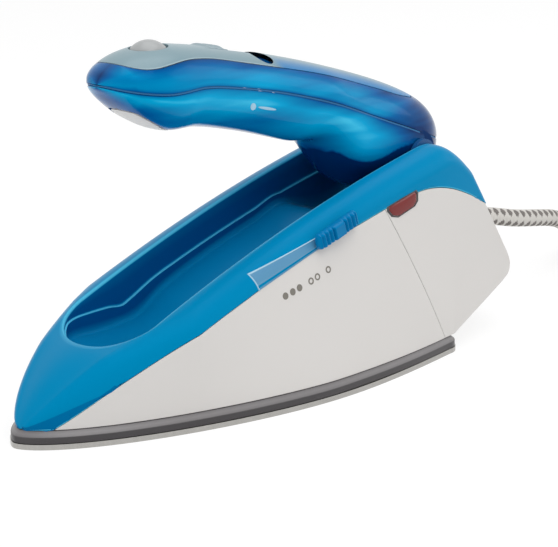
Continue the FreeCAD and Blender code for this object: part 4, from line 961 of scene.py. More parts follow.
def tube_along(name, line, radius, around=20):
    """Closed tube round a line of points: circles square to the line, one side kept uppermost.

    The "along" map holds millimetres along the line and the share of a turn round it.
    """
    way = np.gradient(line, axis=0)
    way /= np.linalg.norm(way, axis=1)[:, None]
    side = np.cross(way, [0.0, 0.0, 1.0])
    side /= np.linalg.norm(side, axis=1)[:, None]
    up = np.cross(side, way)
    angle = np.linspace(0, 2 * math.pi, around + 1)
    rings = line[:, None] + radius * (
        side[:, None] * np.cos(angle)[:, None] + up[:, None] * np.sin(angle)[:, None])
    ends = [line[:1, None] + 0 * rings[:1], line[-1:, None] + 0 * rings[:1]]
    grid = np.concatenate([ends[0], rings, ends[1]])
    mesh = bpy.data.meshes.new(name)
    rows, across = grid.shape[:2]
    fill_mesh(mesh, grid.reshape(-1, 3), grid_quads(rows, across))
    run = np.concatenate([[0], np.cumsum(np.linalg.norm(np.diff(line, axis=0), axis=1))])
    run = np.concatenate([[0], run, run[-1:]])
    uv = np.stack(np.broadcast_arrays(run[:, None], np.linspace(0, 1, across)[None, :]), axis=-1)
    corner = np.empty(len(mesh.loops), np.int32)
    mesh.loops.foreach_get("vertex_index", corner)
    layer = mesh.uv_layers.new(name="along")
    layer.data.foreach_set("uv", uv.reshape(-1, 2)[corner].astype(np.float32).ravel())
    with editing(mesh) as work:
        bmesh.ops.remove_doubles(work, verts=work.verts, dist=1e-6)
        bmesh.ops.recalc_face_normals(work, faces=work.faces)
    return linked(name, mesh)


# ---------------------------------------------------------------------------------------
# Finishes
# ---------------------------------------------------------------------------------------

def look():
    """The scene's colours and finish sizes."""
    return bpy.context.scene.iron_finish


def sizes():
    """The scene's piece sizes."""
    return bpy.context.scene.iron_sizes


def moulded_blue_abs():
    """Moulded ABS in saturated blue: glossy from a polished tool, with painted highlights along its thin
    edges and painted shade down its well.
    """
    # Edge colour: painted highlight; deep colour: painted shade in the well
    return moulded("moulded_blue_abs", look().shell_blue, 0.3, edge=look().edge_blue, deep="#00478a",
                   mottle=0.05, bump=0.02, Specular_Tint=linear("#2c8fc8"), Specular_IOR_Level=0.12)


def moulded_white_abs():
    """Moulded white ABS: satin gloss, warm and even."""
    return moulded("moulded_white_abs", look().housing_white, 0.34, mottle=0.02, bump=0.03)


def moulded_dark_phenolic():
    """Compression-moulded phenolic resin: near black, hard satin sheen with a fine grit; its edge colour is
    a painted highlight on the skirt's bevel.
    """
    return moulded("moulded_dark_phenolic", look().skirt_dark, 0.36, edge="#8b8889", mottle=0.12, bump=0.08)


def tinted_blue_polycarbonate():
    """Clear polycarbonate with a blue dye: wet gloss, with painted light that is bright where light gathers
    along the walls.

    The painted light attribute runs from 0, painted shade where the wall is deep, to 1, a painted
    highlight where it lights up, and streaks along the handle break it up.
    """
    material, tree, surface = start_material(
        "tinted_blue_polycarbonate", IOR=1.58, Roughness=0.12,
        Specular_Tint=linear("#2c9ad6"), Specular_IOR_Level=0.15)
    mark = node(tree, "ShaderNodeAttribute", {"attribute_name": "painted_light"})
    streak = unevenness(tree, 18.0, 2.5, stretch=(0.9, 1.0, 7.0))
    spread = node(tree, "ShaderNodeMapRange", Value=streak, From_Min=0.25, From_Max=0.75,
                  To_Min=-0.26, To_Max=0.26)
    gather = node(tree, "ShaderNodeMath", {"operation": "ADD"},
                  input_0=mark.outputs["Fac"], input_1=spread.outputs[0])
    # Colour ramp of painted light, from painted shade to painted highlight
    ramp = node(tree, "ShaderNodeValToRGB", Fac=gather.outputs[0])
    stops = ramp.color_ramp.elements
    stops[0].position, stops[0].color = 0.0, linear("#002f68")
    stops[1].position, stops[1].color = 1.0, linear("#45c6ec")
    for place, colour in ((0.28, look().tank_shade), (0.55, look().tank_blue), (0.82, look().tank_light)):
        stops.new(place).color = linear(colour)
    feed(tree, surface, Base_Color=ramp.outputs[0])
    return material


def moulded_blue_silicone():
    """Moulded silicone seal seen through the tank: darker, soft, hardly any gloss."""
    return moulded("moulded_blue_silicone", "#0a6ea8", 0.5, mottle=0.1)


def moulded_pale_abs():
    """Moulded pale grey-blue ABS of the top panel: satin gloss that catches the sky, with painted highlights
    along its front edges and painted shade turning its rear sides blue.
    """
    return moulded("moulded_pale_abs", look().panel_pale, 0.3, edge="#c2d8df", deep="#0f78b4",
                   mottle=0.04, bump=0.01)


def moulded_cover_abs():
    """Moulded pale ABS of the filling cover: satin, a shade lighter and greyer than the panel."""
    return moulded("moulded_cover_abs", "#8fa3ab", 0.34, mottle=0.05)


def moulded_grey_abs():
    """Moulded grey ABS of the steam button: even and satin."""
    return moulded("moulded_grey_abs", "#a3a6a7", 0.32, mottle=0.03, bump=0.02)


def moulded_slider_abs():
    """Moulded blue ABS of the temperature slider: satin, with a coarser grain than the shell's."""
    return moulded("moulded_slider_abs", "#0078b0", 0.3, mottle=0.08, bump=0.05,
                   Specular_Tint=linear("#2c8fc8"))


def moulded_track_abs():
    """Moulded grey-blue ABS of the slider's track: matt, so that the slider stands out; its edge colour is a
    painted highlight and its deep colour painted shade.
    """
    return moulded("moulded_track_abs", "#4d8db4", 0.42, edge="#b4d6e6", deep="#123a5c", mottle=0.05)


def moulded_red_acrylic():
    """Injection-moulded red acrylic of the pilot lens: deep and glossy."""
    return moulded("moulded_red_acrylic", "#7c1512", 0.18, mottle=0.25)


def moulded_black_rubber():
    """Moulded black rubber of strain relief, tie and grommet: dull, with a dusty bloom."""
    return moulded("moulded_black_rubber", "#26262a", 0.62, mottle=0.2, grain=500.0, bump=0.1)


def moulded_black_pvc():
    """Moulded black PVC of the plug: dull gloss, faint flow marks."""
    return moulded("moulded_black_pvc", "#232325", 0.42, mottle=0.2)


def printed_grey_ink():
    """Pad-printed grey ink: flat, slightly rough film on the housing."""
    return moulded("printed_grey_ink", "#7c7870", 0.5, mottle=0.1, grain=1500.0)


def printed_white_ink():
    """Pad-printed white ink on the tank: thin film that lets some of the blue through."""
    return moulded("printed_white_ink", "#a8d2e8", 0.45, mottle=0.1, grain=1500.0)


def drawn_spring_steel():
    """Drawn spring steel: bright, with a fine even grain."""
    return metal("drawn_spring_steel", "#b9babb", 0.3, cycles=600)


def braided_polyester():
    """Textile braid: light yarn with blocks of dark yarn in staggered rows, fuzzy, without gloss.

    A block is 4.6 mm long, and strands 0.95 mm wide run slantwise across the blocks.
    """
    repeat, strand = 9.2, 0.95
    material, tree, surface = start_material(
        "braided_polyester", Roughness=0.85, Sheen_Weight=0.3, Sheen_Roughness=0.5, IOR=1.45)
    place = node(tree, "ShaderNodeUVMap", {"uv_map": "along"})
    parts = node(tree, "ShaderNodeSeparateXYZ", Vector=place.outputs[0])

    def wave(per_mm, turns):
        """Sine of a helix: waves for each millimetre along, and turns round the cord."""
        lengthwise = node(tree, "ShaderNodeMath", {"operation": "MULTIPLY"},
                          input_0=parts.outputs[0], input_1=2 * math.pi * per_mm)
        angle = node(tree, "ShaderNodeMath", {"operation": "MULTIPLY_ADD"},
                     input_0=parts.outputs[1], input_1=2 * math.pi * turns, input_2=lengthwise.outputs[0])
        return node(tree, "ShaderNodeMath", {"operation": "SINE"}, input_0=angle.outputs[0]).outputs[0]

    blocks = node(tree, "ShaderNodeMath", {"operation": "MULTIPLY"},
                  input_0=wave(1 / repeat, 2), input_1=wave(1 / repeat, -2))
    strands = wave(1 / strand, 9)
    ragged = node(tree, "ShaderNodeMath", {"operation": "MULTIPLY_ADD"},
                  input_0=strands, input_1=0.16, input_2=blocks.outputs[0])
    level = node(tree, "ShaderNodeMapRange", Value=ragged.outputs[0], From_Min=-1.0, From_Max=1.0)
    ramp = node(tree, "ShaderNodeValToRGB", Fac=level.outputs[0])
    stops = ramp.color_ramp.elements
    stops[0].position, stops[0].color = 0.36, linear(look().braid_dark)
    stops[1].position, stops[1].color = 0.42, linear(look().braid_light)
    relief = node(tree, "ShaderNodeBump", Height=strands, Strength=0.5, Distance=0.0003)
    feed(tree, surface, Base_Color=ramp.outputs[0], Normal=relief.outputs[0])
    return material


def brushed_stainless_steel():
    """Brushed stainless steel of the soleplate: fine lines along it."""
    return metal("brushed_stainless_steel", "#b4b2ae", 0.3, (0.3, 6, 1))


def cast_aluminium():
    """Die-cast aluminium of the heated base: dull, with a fine even grain."""
    return metal("cast_aluminium", "#b4b3b0", 0.5, cycles=900)


def oxidised_steel():
    """Steel sheath of the heating element, browned by heat."""
    return metal("oxidised_steel", "#6e6963", 0.55, cycles=400)


def nickel_plated_brass():
    """Brass of the plug blades under thin nickel: yellowish and bright."""
    return metal("nickel_plated_brass", "#cfc7a8", 0.22, (1, 6, 1))


def zinc_plated_steel():
    """Lid, pins, fuse and screws of steel under bright zinc: a fine even grain."""
    return metal("zinc_plated_steel", "#c4c5c6", 0.3, cycles=500)


def moulded_blue_acetal():
    """Moulded blue acetal of washers, valve cup and crank: slippery satin."""
    return moulded("moulded_blue_acetal", "#0b4f86", 0.4)


def fired_steatite():
    """Fired steatite ceramic of thermostat and terminal block: chalky, coarse grain."""
    return moulded("fired_steatite", "#dbd8cf", 0.7, grain=400)


def extruded_silicone():
    """Extruded silicone of the drip tube: milky, with a little light inside."""
    return moulded("extruded_silicone", "#cfcfca", 0.45, Subsurface_Weight=0.1)


def extruded_ptfe_sleeve():
    """Extruded sleeve of the inner leads: pale and waxy."""
    return moulded("extruded_ptfe_sleeve", "#c4c1b4", 0.5)


def neon_lamp_glass():
    """Glass of the neon lamp: clear, with the gas's orange."""
    return moulded("neon_lamp_glass", "#e8a070", 0.05, Transmission_Weight=0.7)


# Finish of each material slot of the CAD frame
SLOT_FINISHES = {
    "polished_steel_sole": brushed_stainless_steel,
    "cast_aluminium_base": cast_aluminium,
    "element_sheath": oxidised_steel,
    "pressed_steel": zinc_plated_steel,
    "plated_brass": nickel_plated_brass,
    "spring_steel": drawn_spring_steel,
    "acetal_washer": moulded_blue_acetal,
    "white_ceramic": fired_steatite,
    "silicone_tube": extruded_silicone,
    "wire_insulation": extruded_ptfe_sleeve,
    "neon_glass": neon_lamp_glass,
    "black_rubber": moulded_black_rubber,
    "black_plug": moulded_black_pvc,
    "white_housing": moulded_white_abs,
    "blue_shell": moulded_blue_abs,
    "clear_blue_tank": tinted_blue_polycarbonate,
    "tank_seal": moulded_blue_silicone,
    "pale_panel": moulded_pale_abs,
    "grey_button": moulded_grey_abs,
    "dark_phenolic_skirt": moulded_dark_phenolic,
    "red_lens": moulded_red_acrylic,
    "braided_lead": braided_polyester,
    "blue_slider": moulded_slider_abs,
}


# ---------------------------------------------------------------------------------------
# Properties
# ---------------------------------------------------------------------------------------

def colour_property(name, description, value):
    """Colour property whose default is an sRGB hex colour."""
    return bpy.props.FloatVectorProperty(
        name=name, description=description, subtype="COLOR", size=3, min=0.0, max=1.0,
        default=linear(value)[:3])


def length_property(name, description, value):
    """Length property in metres whose default is given in millimetres."""
    return bpy.props.FloatProperty(
        name=name, description=description, subtype="DISTANCE", unit="LENGTH", min=0.0, default=value * MM)


class IronFinish(bpy.types.PropertyGroup):
    """Colours of the iron's finishes"""
    shell_blue: colour_property("Shell blue", "Upper shell's plastic", "#0088ba")
    # Painted highlight colour along the shell's thin edges
    edge_blue: colour_property("Edge blue", "Light that the shell's thin edges hold", "#4fbce0")
    housing_white: colour_property("Housing white", "Lower housing and rear cover", "#d9d6d3")
    skirt_dark: colour_property("Skirt", "Heat skirt round the sole", "#3b383a")
    # Colours of the tank's painted light: middle, painted highlight and painted shade
    tank_blue: colour_property("Tank blue", "Tank's tinted plastic", "#0086bc")
    tank_light: colour_property("Tank light", "Tank where light gathers", "#00a6d8")
    tank_shade: colour_property("Tank shade", "Tank where it is thick", "#005c9e")
    panel_pale: colour_property("Top panel", "Handle's pale top panel", "#78959f")
    braid_dark: colour_property("Braid, dark yarn", "Dark yarn of the cord's braid", "#6b645f")
    braid_light: colour_property("Braid, light yarn", "Light yarn of the cord's braid", "#dcd8d2")


class IronSizes(bpy.types.PropertyGroup):
    """Sizes that may be changed without changing the CAD frame"""
    lip: length_property("Lip radius", "Rounding of the well's edge", 1.0)
    fillet: length_property("Well fillet", "Rounding between the well's wall and floor", 1.6)
    ledge: length_property("Ledge", "Width of the ledge inside the well", 0.85)
    seam: length_property("Seam", "Half of the gap between neighbouring shells", 0.14)
    wall: length_property("Wall", "Thickness of the moulded shells", 0.8)
    groove: length_property("Seal groove", "Half of the groove between the tank's halves", 0.4)
    cord_length: length_property("Cord length", "Length of the supply cord", 1800.0)


def mm(value):
    """A length property in millimetres."""
    return value / MM


# ---------------------------------------------------------------------------------------
# Operators
# ---------------------------------------------------------------------------------------

class BuildShell(bpy.types.Operator):
    """Blue upper shell with its well, and the slider's track on its side"""
    bl_idname = "iron.shell"
    bl_label = "Upper shell"

    def execute(self, context):
        s = sizes()
        grid, painted_light = shell_grid(mm(s.lip), mm(s.fillet), mm(s.ledge), mm(s.seam))
        obj = skin("shell_skin", both_sides(grid), [painted_light, painted_light], (0, 0, -60), mm(s.wall), smooth=38)
        finish_piece(obj, "iron_base", "blue_shell", moulded_blue_abs, "upper_shell")
        self.track()
        return {"FINISHED"}

    def track(self):
        """Strip beside the slider's slot: it widens to the front, with a painted highlight on its rim and
        painted shade in the slot.

        Across the strip, each share of its width has a rise off the hull's side and a painted light value.
        """
        # Rows of share, rise and painted light: above 0 a painted highlight on the rim, below 0 painted
        # shade in the slot
        profile = np.array([
            (0, -0.6, 0), (0.02, 0.1, 0), (0.05, 0.2, 0.1), (0.12, 0.2, 0),
            (0.16, -0.5, -1), (0.22, -0.5, -1), (0.28, 0.1, 0), (0.32, 0.14, 0.1),
            (0.4, 0.1, 0), (0.6, 0.1, 0), (0.8, 0.1, 0), (0.9, 0.1, 0),
            (0.93, 0.14, 0.2), (0.96, 0.3, 0.9), (0.99, 0.22, 0.9), (1.0, -0.6, 0),
        ])
        share, rise, painted_light = profile.T
        along = np.concatenate([np.linspace(-25.0, 24.2, 80), [24.3, 24.5, 24.7, 24.9, 25.0]])[:, None]
        end = np.where(along > 24.4, 1.0, 0.0)
        # Painted highlight round the end of the strip
        rise = rise * (1 - end) + end * np.interp(along, [24.4, 24.6, 24.85, 25.0], [0.2, 0.3, 0.2, -0.6])
        painted_light = painted_light * (1 - end) + end * np.interp(along, [24.4, 24.6, 25.0], [0.5, 0.9, 0.5])
        low, high = -1.35, 2.9 + 0.068 * along
        x, z = beside_slot(SLOT_MIDDLE, along, low + (high - low) * share[None, :])
        grid = np.stack([x, hull_side(x, z) + rise, z], axis=-1)
        obj = grid_piece("slider_track", [grid], [painted_light], (-14, -100, 45))
        settle(obj, 60)
        finish_piece(obj, "iron_base", "blue_shell", moulded_track_abs)


def beside_slot(middle, along, across):
    """Side-view place at distances along the slider's slot, towards the toe, and across it."""
    x = middle[0] + along * math.cos(SLOT_ANGLE) + across * math.sin(SLOT_ANGLE)
    z = middle[1] - along * math.sin(SLOT_ANGLE) + across * math.cos(SLOT_ANGLE)
    return x, z


class BuildHousing(bpy.types.Operator):
    """White lower housing, rear cover, pilot lens and the printed marks"""
    bl_idname = "iron.housing"
    bl_label = "Housing"

    def execute(self, context):
        s = sizes()
        edge = 0.18
        obj = grid_piece("housing_sides", both_sides(housing_grid(mm(s.seam))), inside=(0, 0, -400))
        self.face_out(obj.data)
        thicken(obj, mm(s.wall), edge)
        settle(obj)
        finish_piece(obj, "iron_base", "white_housing", moulded_white_abs, "lower_housing")
        cover = both_sides(cover_grid(mm(s.seam), REAR_CORNER))
        obj = skin("rear_cover_skin", cover, None, (-60, 0, 60), mm(s.wall), edge)
        finish_piece(obj, "iron_base", "white_housing", moulded_white_abs, "rear_cover")
        self.marks()
        self.lens()
        return {"FINISHED"}

    def face_out(self, mesh):
        """Turn both sides' faces away from the middle plane."""
        with editing(mesh) as work:
            wrong = [f for f in work.faces if f.normal.y * f.calc_center_median().y < 0]
            bmesh.ops.reverse_faces(work, faces=wrong)

    def marks(self):
        """Temperature marks: three dots and three rings, thin film discs lying on the side."""
        dots = [(-2.4, 38.3), (-5.8, 39.1), (-9.0, 39.9)]
        rings = [(-14.5, 41.2), (-17.6, 42.1), (-23.0, 43.6)]
        outer, hole, film = 1.2, 0.72, 0.1
        turn = np.linspace(0, 2 * math.pi, 33)[None, :]
        lift = np.array([film, film, -film, -film, film])[:, None]
        grids = []
        for number, (x, z) in enumerate(dots + rings):
            inner = 0.0 if number < len(dots) else hole
            radius = np.array([inner, outer, outer, inner, inner])[:, None]
            px, pz = x + radius * np.cos(turn), z + radius * np.sin(turn)
            grids.append(np.stack([px, side_line(px, pz) + lift, pz], axis=-1))
        obj = grid_piece("temperature_marks", grids, inside=(-8, 0, 42))
        settle(obj)
        finish_piece(obj, "iron_base", "white_housing", printed_grey_ink)

    def lens(self):
        """Pilot lens: a low domed pane in the seam, with a dark frame round it."""
        obj = self.lens_rings(
            "pilot_lens_pane", [0.0, 0.3, 0.6, 0.85, 0.95, 1.0, 1.0],
            [0.5, 0.48, 0.42, 0.32, 0.22, 0.05, -1.0])
        finish_piece(obj, "iron_base", "red_lens", moulded_red_acrylic, "pilot_lens")
        obj = self.lens_rings(
            "pilot_lens_frame", [1.02, 1.02, 1.1, 1.14, 1.14], [-0.8, 0.22, 0.24, 0.1, -0.8])
        finish_piece(obj, "iron_base", "dark_phenolic_skirt", moulded_dark_phenolic)

    def lens_rings(self, name, shares, rises):
        """Piece of rings that are shares of the lens's outline, each at a rise off the side."""
        corners = np.array([
            (-55.6, 59.9), (-62.4, 61.6), (-69.2, 63.1), (-70.0, 62.2), (-69.8, 59.6), (-68.2, 58.1),
            (-60.2, 55.9), (-57.2, 56.6), (-55.4, 58.6), (-55.6, 59.9)])
        middle = corners[:-1].mean(axis=0)
        ring = middle + (corners - middle) * np.array(shares)[:, None, None]
        x, z = ring[..., 0], ring[..., 1]
        grid = np.stack([x, side_line(x, z) + np.array(rises)[:, None], z], axis=-1)
        return settle(grid_piece(name, [grid], inside=(-62, -60, 40)), 50)


class BuildSole(bpy.types.Operator):
    """Dark heat skirt round the soleplate"""
    bl_idname = "iron.sole"
    bl_label = "Sole and skirt"

    def execute(self, context):
        """The skirt's closed section runs round the sole; its rows are inset, height and painted highlight
        on the bevel.
        """
        section = [
            (6.9, 1.85, 0), (0.5, 1.85, 0), (0.3, 2.0, 0), (0.3, 3.9, 0), (0.36, 4.1, 0.1),
            (0.55, 4.25, 0.5), (1.35, 4.95, 0.7), (2.2, 5.7, 0.55), (2.5, 5.92, 0.3), (2.85, 6.05, 0),
            (6.9, 6.05, 0), (6.9, 1.85, 0),
        ]
        outlines = [(sole_ring(inset), height) for inset, height, _ in section]
        rings = np.array([np.column_stack([plan, np.full(len(plan), height)]) for plan, height in outlines])
        rings = np.concatenate([rings, rings[:, :1]], axis=1)
        # Painted highlight on the bevel under the skirt's top edge
        painted_light = np.array(section)[:, 2:]
        obj = settle(grid_piece("heat_skirt_ring", [rings], [painted_light], (0, 0, 3)), 30)
        finish_piece(obj, "iron_base", "dark_phenolic_skirt", moulded_dark_phenolic, "heat_skirt")
        return {"FINISHED"}


class BuildHandle(bpy.types.Operator):
    """Handle: tinted tank halves, seal, pale top panel and grip insert"""
    bl_idname = "iron.handle"
    bl_label = "Handle"

    def execute(self, context):
        gap, groove = mm(sizes().seam), mm(sizes().groove)
        obj = skin("tank_upper_skin", *tank_upper_bands(gap, groove), HANDLE_INSIDE, TANK_WALL)
        finish_piece(obj, "handle", "clear_blue_tank", tinted_blue_polycarbonate, "tank_upper")
        obj = skin("tank_lower_skin", *tank_lower_bands(gap, groove), HANDLE_INSIDE, TANK_WALL)
        finish_piece(obj, "handle", "clear_blue_tank", tinted_blue_polycarbonate, "tank_lower")
        obj = skin("tank_seal_band", seal_bands(groove - 0.12, 0.2), None, HANDLE_INSIDE, 1.2)
        finish_piece(obj, "handle", "tank_seal", moulded_blue_silicone, "tank_seal")
        obj = skin("grip_insert_skin", [insert_band(gap)], None, (33, 0, 110), 1.3, 0.15)
        finish_piece(obj, "handle", "white_housing", moulded_white_abs, "grip_insert")
        self.panel(gap)
        self.filling_dish()
        self.fill_mark()
        return {"FINISHED"}

    def panel(self, gap):
        """Top panel with the button's hole, the filling cover's track and the filling hole."""
        grid, painted_light = panel_band(gap)
        obj = skin("top_panel_skin", [grid], [painted_light], (-30, 0, 60), 2.0)
        radius, low, high = 6.65, 105, 130
        hole = turned("button_hole", [(0, low), (radius, low), (radius, high), (0, high)])
        put(hole, Matrix.Translation((BUTTON_X, 0, 0)))
        track = bar("cover_track", 29.6, 10.7, 6.0, 5.2, steps=8)
        put(track, track_place(14.3) @ Matrix.Translation((0, 0, -1.35)))
        inlet = bar("filling_hole", 12.0, 6.6, 12.0, 3.2, steps=8)
        put(inlet, track_place(21.3) @ Matrix.Translation((0, 0, -8.0)))
        dip = bar("filling_dip", 22.4, 8.4, 16.0, 4.1, steps=14)
        put(dip, Matrix.Translation((-16.2, 0, 106)) @ Matrix.Rotation(math.pi / 2, 4, "Z"))
        cut_away(obj, hole, track, inlet, dip)
        round_edges(obj, 0.12)
        settle(obj)
        finish_piece(obj, "handle", "pale_panel", moulded_pale_abs, "top_panel")

    def filling_dish(self):
        """Floor of the dip round the filling hole, one wall's thickness under the skin, dark with painted
        shade.
        """
        sweep = handle_sweep(np.linspace(-22.0, -10.5, 14))[:, None]
        turn = TOP_TURN + np.linspace(-1.2, 1.2, 41)[None, :]
        grid = handle_point(sweep, turn, TANK_WALL)
        # Painted shade: the darkest end of the tank's painted light
        obj = skin("filling_dish", [grid], [0.05 + 0 * turn], (-16, 0, 90), 0.3)
        finish_piece(obj, "handle", "clear_blue_tank", tinted_blue_polycarbonate)

    def fill_mark(self):
        """Fill-level mark: a dot and a short bar printed on the tank's side, in line with it."""
        film, slope = 0.1, -0.24
        turn = np.linspace(0, 2 * math.pi, 25)[None, :]
        radius = np.array([0.0, 1.0, 1.0, 0.0])[:, None]
        lift = np.array([film, film, -film, -film])[:, None]
        grids = []
        for x, z, long, tall in ((-4.2, 100.8, 1.25, 1.25), (-10.8, 99.3, 4.2, 0.5)):
            px = x + radius * long * np.cos(turn)
            pz = z + radius * tall * np.sin(turn) - (px - x) * slope
            sweep = handle_sweep(px)
            point = handle_point(sweep, turn_at(sweep, pz))
            point[..., 1] += lift
            grids.append(point)
        obj = grid_piece("fill_level_mark", grids, inside=(-6, 0, 100))
        settle(obj)
        finish_piece(obj, "handle", "white_housing", printed_white_ink)


def track_place(distance):
    """Placement on the top panel, a distance behind the filling cover's front edge."""
    front, angle = 9.5, math.radians(10.7)
    top = float(np.interp(front, [-6.0, 14.0], [118.8, 122.4]))
    point = Vector((front - distance * math.cos(angle), 0, top - distance * math.sin(angle)))
    return Matrix.Translation(point) @ Matrix.Rotation(-angle, 4, "Y")


class BuildControls(bpy.types.Operator):
    """Steam button, filling cover and temperature slider"""
    bl_idname = "iron.controls"
    bl_label = "Controls"

    def execute(self, context):
        self.button()
        self.spring()
        self.cover()
        self.slider()
        return {"FINISHED"}

    def button(self):
        """Domed button: stem, skirt and a spherical cap with a softened rim."""
        radius, rise, rim, stem, foot, skirt = 6.2, 3.0, 122.6, 2, 104.75, 111.9
        ball = (radius ** 2 + rise ** 2) / (2 * rise)
        angle = np.linspace(math.asin(radius / ball) * 0.97, 0, 14)
        dome = [(ball * math.sin(a), rim + rise - ball + ball * math.cos(a)) for a in angle]
        profile = [
            (0, foot), (stem, foot), (stem, skirt), (6.15, skirt), (radius, 112.1),
            (radius, 122.3), (6.15, 122.5)]
        obj = turned("button_dome", profile + dome, 72)
        put(obj, Matrix.Translation((BUTTON_X, 0, 0)))
        settle(obj, 50)
        finish_piece(obj, "steam_button", "grey_button", moulded_grey_abs, "steam_button")

    def spring(self):
        """Return spring under the button: a helix of round wire."""
        low, high = (np.array(corner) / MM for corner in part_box("button_spring"))
        wire, reach, turns, count, clear = 0.35, 3.4, 3.4, 160, 0.02
        angle = np.linspace(0, 2 * math.pi * turns, count)
        rise = np.linspace(low[2] + wire + clear, high[2] - wire - clear, count)
        line = np.stack([BUTTON_X + reach * np.cos(angle), reach * np.sin(angle), rise], axis=1)
        obj = tube_along("return_spring", line, wire, around=10)
        settle(obj, 60)
        finish_piece(obj, "handle", "spring_steel", drawn_spring_steel, "button_spring")
        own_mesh(obj)

    def cover(self):
        """Filling cover: a plate crowned across and along, with three raised finger ribs."""
        length, width, thick = 14.5, 10.0, 1.2
        u = np.linspace(0, 1, 60)[:, None]
        v = np.linspace(-1, 1, 41)[None, :]
        half = width / 2 * quarter(np.minimum(u, 1 - u) / 0.2) * 0.999 + 0.001
        x, y = -length * u + 0 * v, half * v
        ribs = sum(np.exp(-((u - share) * length / 0.75) ** 2) for share in (0.3, 0.5, 0.7))
        crown = 0.35 * (1 - v ** 2) * np.sin(math.pi * u)
        top = crown - 0.12 + 0.75 * ribs * (1 - v ** 4) * quarter(np.minimum(u, 1 - u) / 0.1)
        top = np.where(np.abs(v) > 0.99, -0.2, top)
        upper = np.stack([x, y, top + 0 * x], axis=-1)
        lower = np.stack([x, y, -thick + 0 * x], axis=-1)
        rim = [np.stack([grid[:, i] for grid in (upper, lower)], axis=1) for i in (0, -1)]
        ends = [np.stack([grid[i] for grid in (upper, lower)], axis=1) for i in (0, -1)]
        obj = grid_piece("filling_cover", [upper, lower] + rim + ends, inside=(-length / 2, 0, -0.6))
        put(obj, track_place(0))
        settle(obj, 50)
        finish_piece(obj, "fill_cover", "pale_panel", moulded_cover_abs, "fill_cover")

    def slider(self):
        """Slider cap in line with its track: rounded ends, a raised pad and finger ribs, on its fork."""
        length, height, proud, face, rib = 20.6, 5.8, 3.0, 31.4, 1.9
        u = np.linspace(-1, 1, 181)[:, None]
        v = np.sin(np.linspace(-math.pi / 2, math.pi / 2, 31))[None, :]
        a = length / 2 * u
        half = height / 2 * quarter((1 - np.abs(u)) / 0.12)
        ribs = 0.5 + 0.5 * np.cos(2 * math.pi * a / rib)
        ribbed = ease(np.abs(a), 2.6, 3.1) * (1 - ease(np.abs(a), 8.9, 9.4))
        pad = 1 - ease(np.abs(a), 2.2, 2.9)
        out = proud * 0.62 + proud * 0.3 * ribbed * ribs + proud * 0.38 * pad
        out = out * quarter((1 - np.abs(v)) / 0.35) * quarter((1 - np.abs(u)) / 0.1)
        x0, z0 = beside_slot(SLOT_MIDDLE, -SLIDER_TRAVEL / 2, 0)
        x, z = beside_slot((x0, z0), a, half * v + 1.9)
        grids = [np.stack([x, face + rise, z], axis=-1) for rise in (out, 0 * out)]
        cap = grid_piece("slider_cap", grids, inside=(-28, 20, 56))
        neck = bar("slider_neck", 7.8, 0.95, 9.0, 0.3, steps=4)
        upright = Matrix.Rotation(SLOT_ANGLE, 4, "Y") @ Matrix.Rotation(-math.pi / 2, 4, "X")
        put(neck, Matrix.Translation((x0, 22.6, z0)) @ upright)
        root = bar("slider_fork_root", 7.8, 3.5, 1.9, 0.3, steps=4)
        put(root, Matrix.Translation((x0, 24.15, 53.7)))
        legs = [bar("slider_fork_leg", 2.1, 4.9, 12.9, 0.3, steps=4) for _ in range(2)]
        for leg, place in zip(legs, (-2.9, 2.9)):
            put(leg, Matrix.Translation((x0 + place, 24.85, 40.95)))
        obj = settle(join(cap, neck, root, *legs), 42)
        finish_piece(obj, "temperature_slider", "blue_slider", moulded_slider_abs, "temperature_slider")


def join(*objs):
    """Join objects' meshes into the first one and delete the others."""
    work = bmesh.new()
    for obj in objs:
        work.from_mesh(obj.data)
    work.to_mesh(objs[0].data)
    work.free()
    for obj in objs[1:]:
        bpy.data.objects.remove(obj)
    return objs[0]


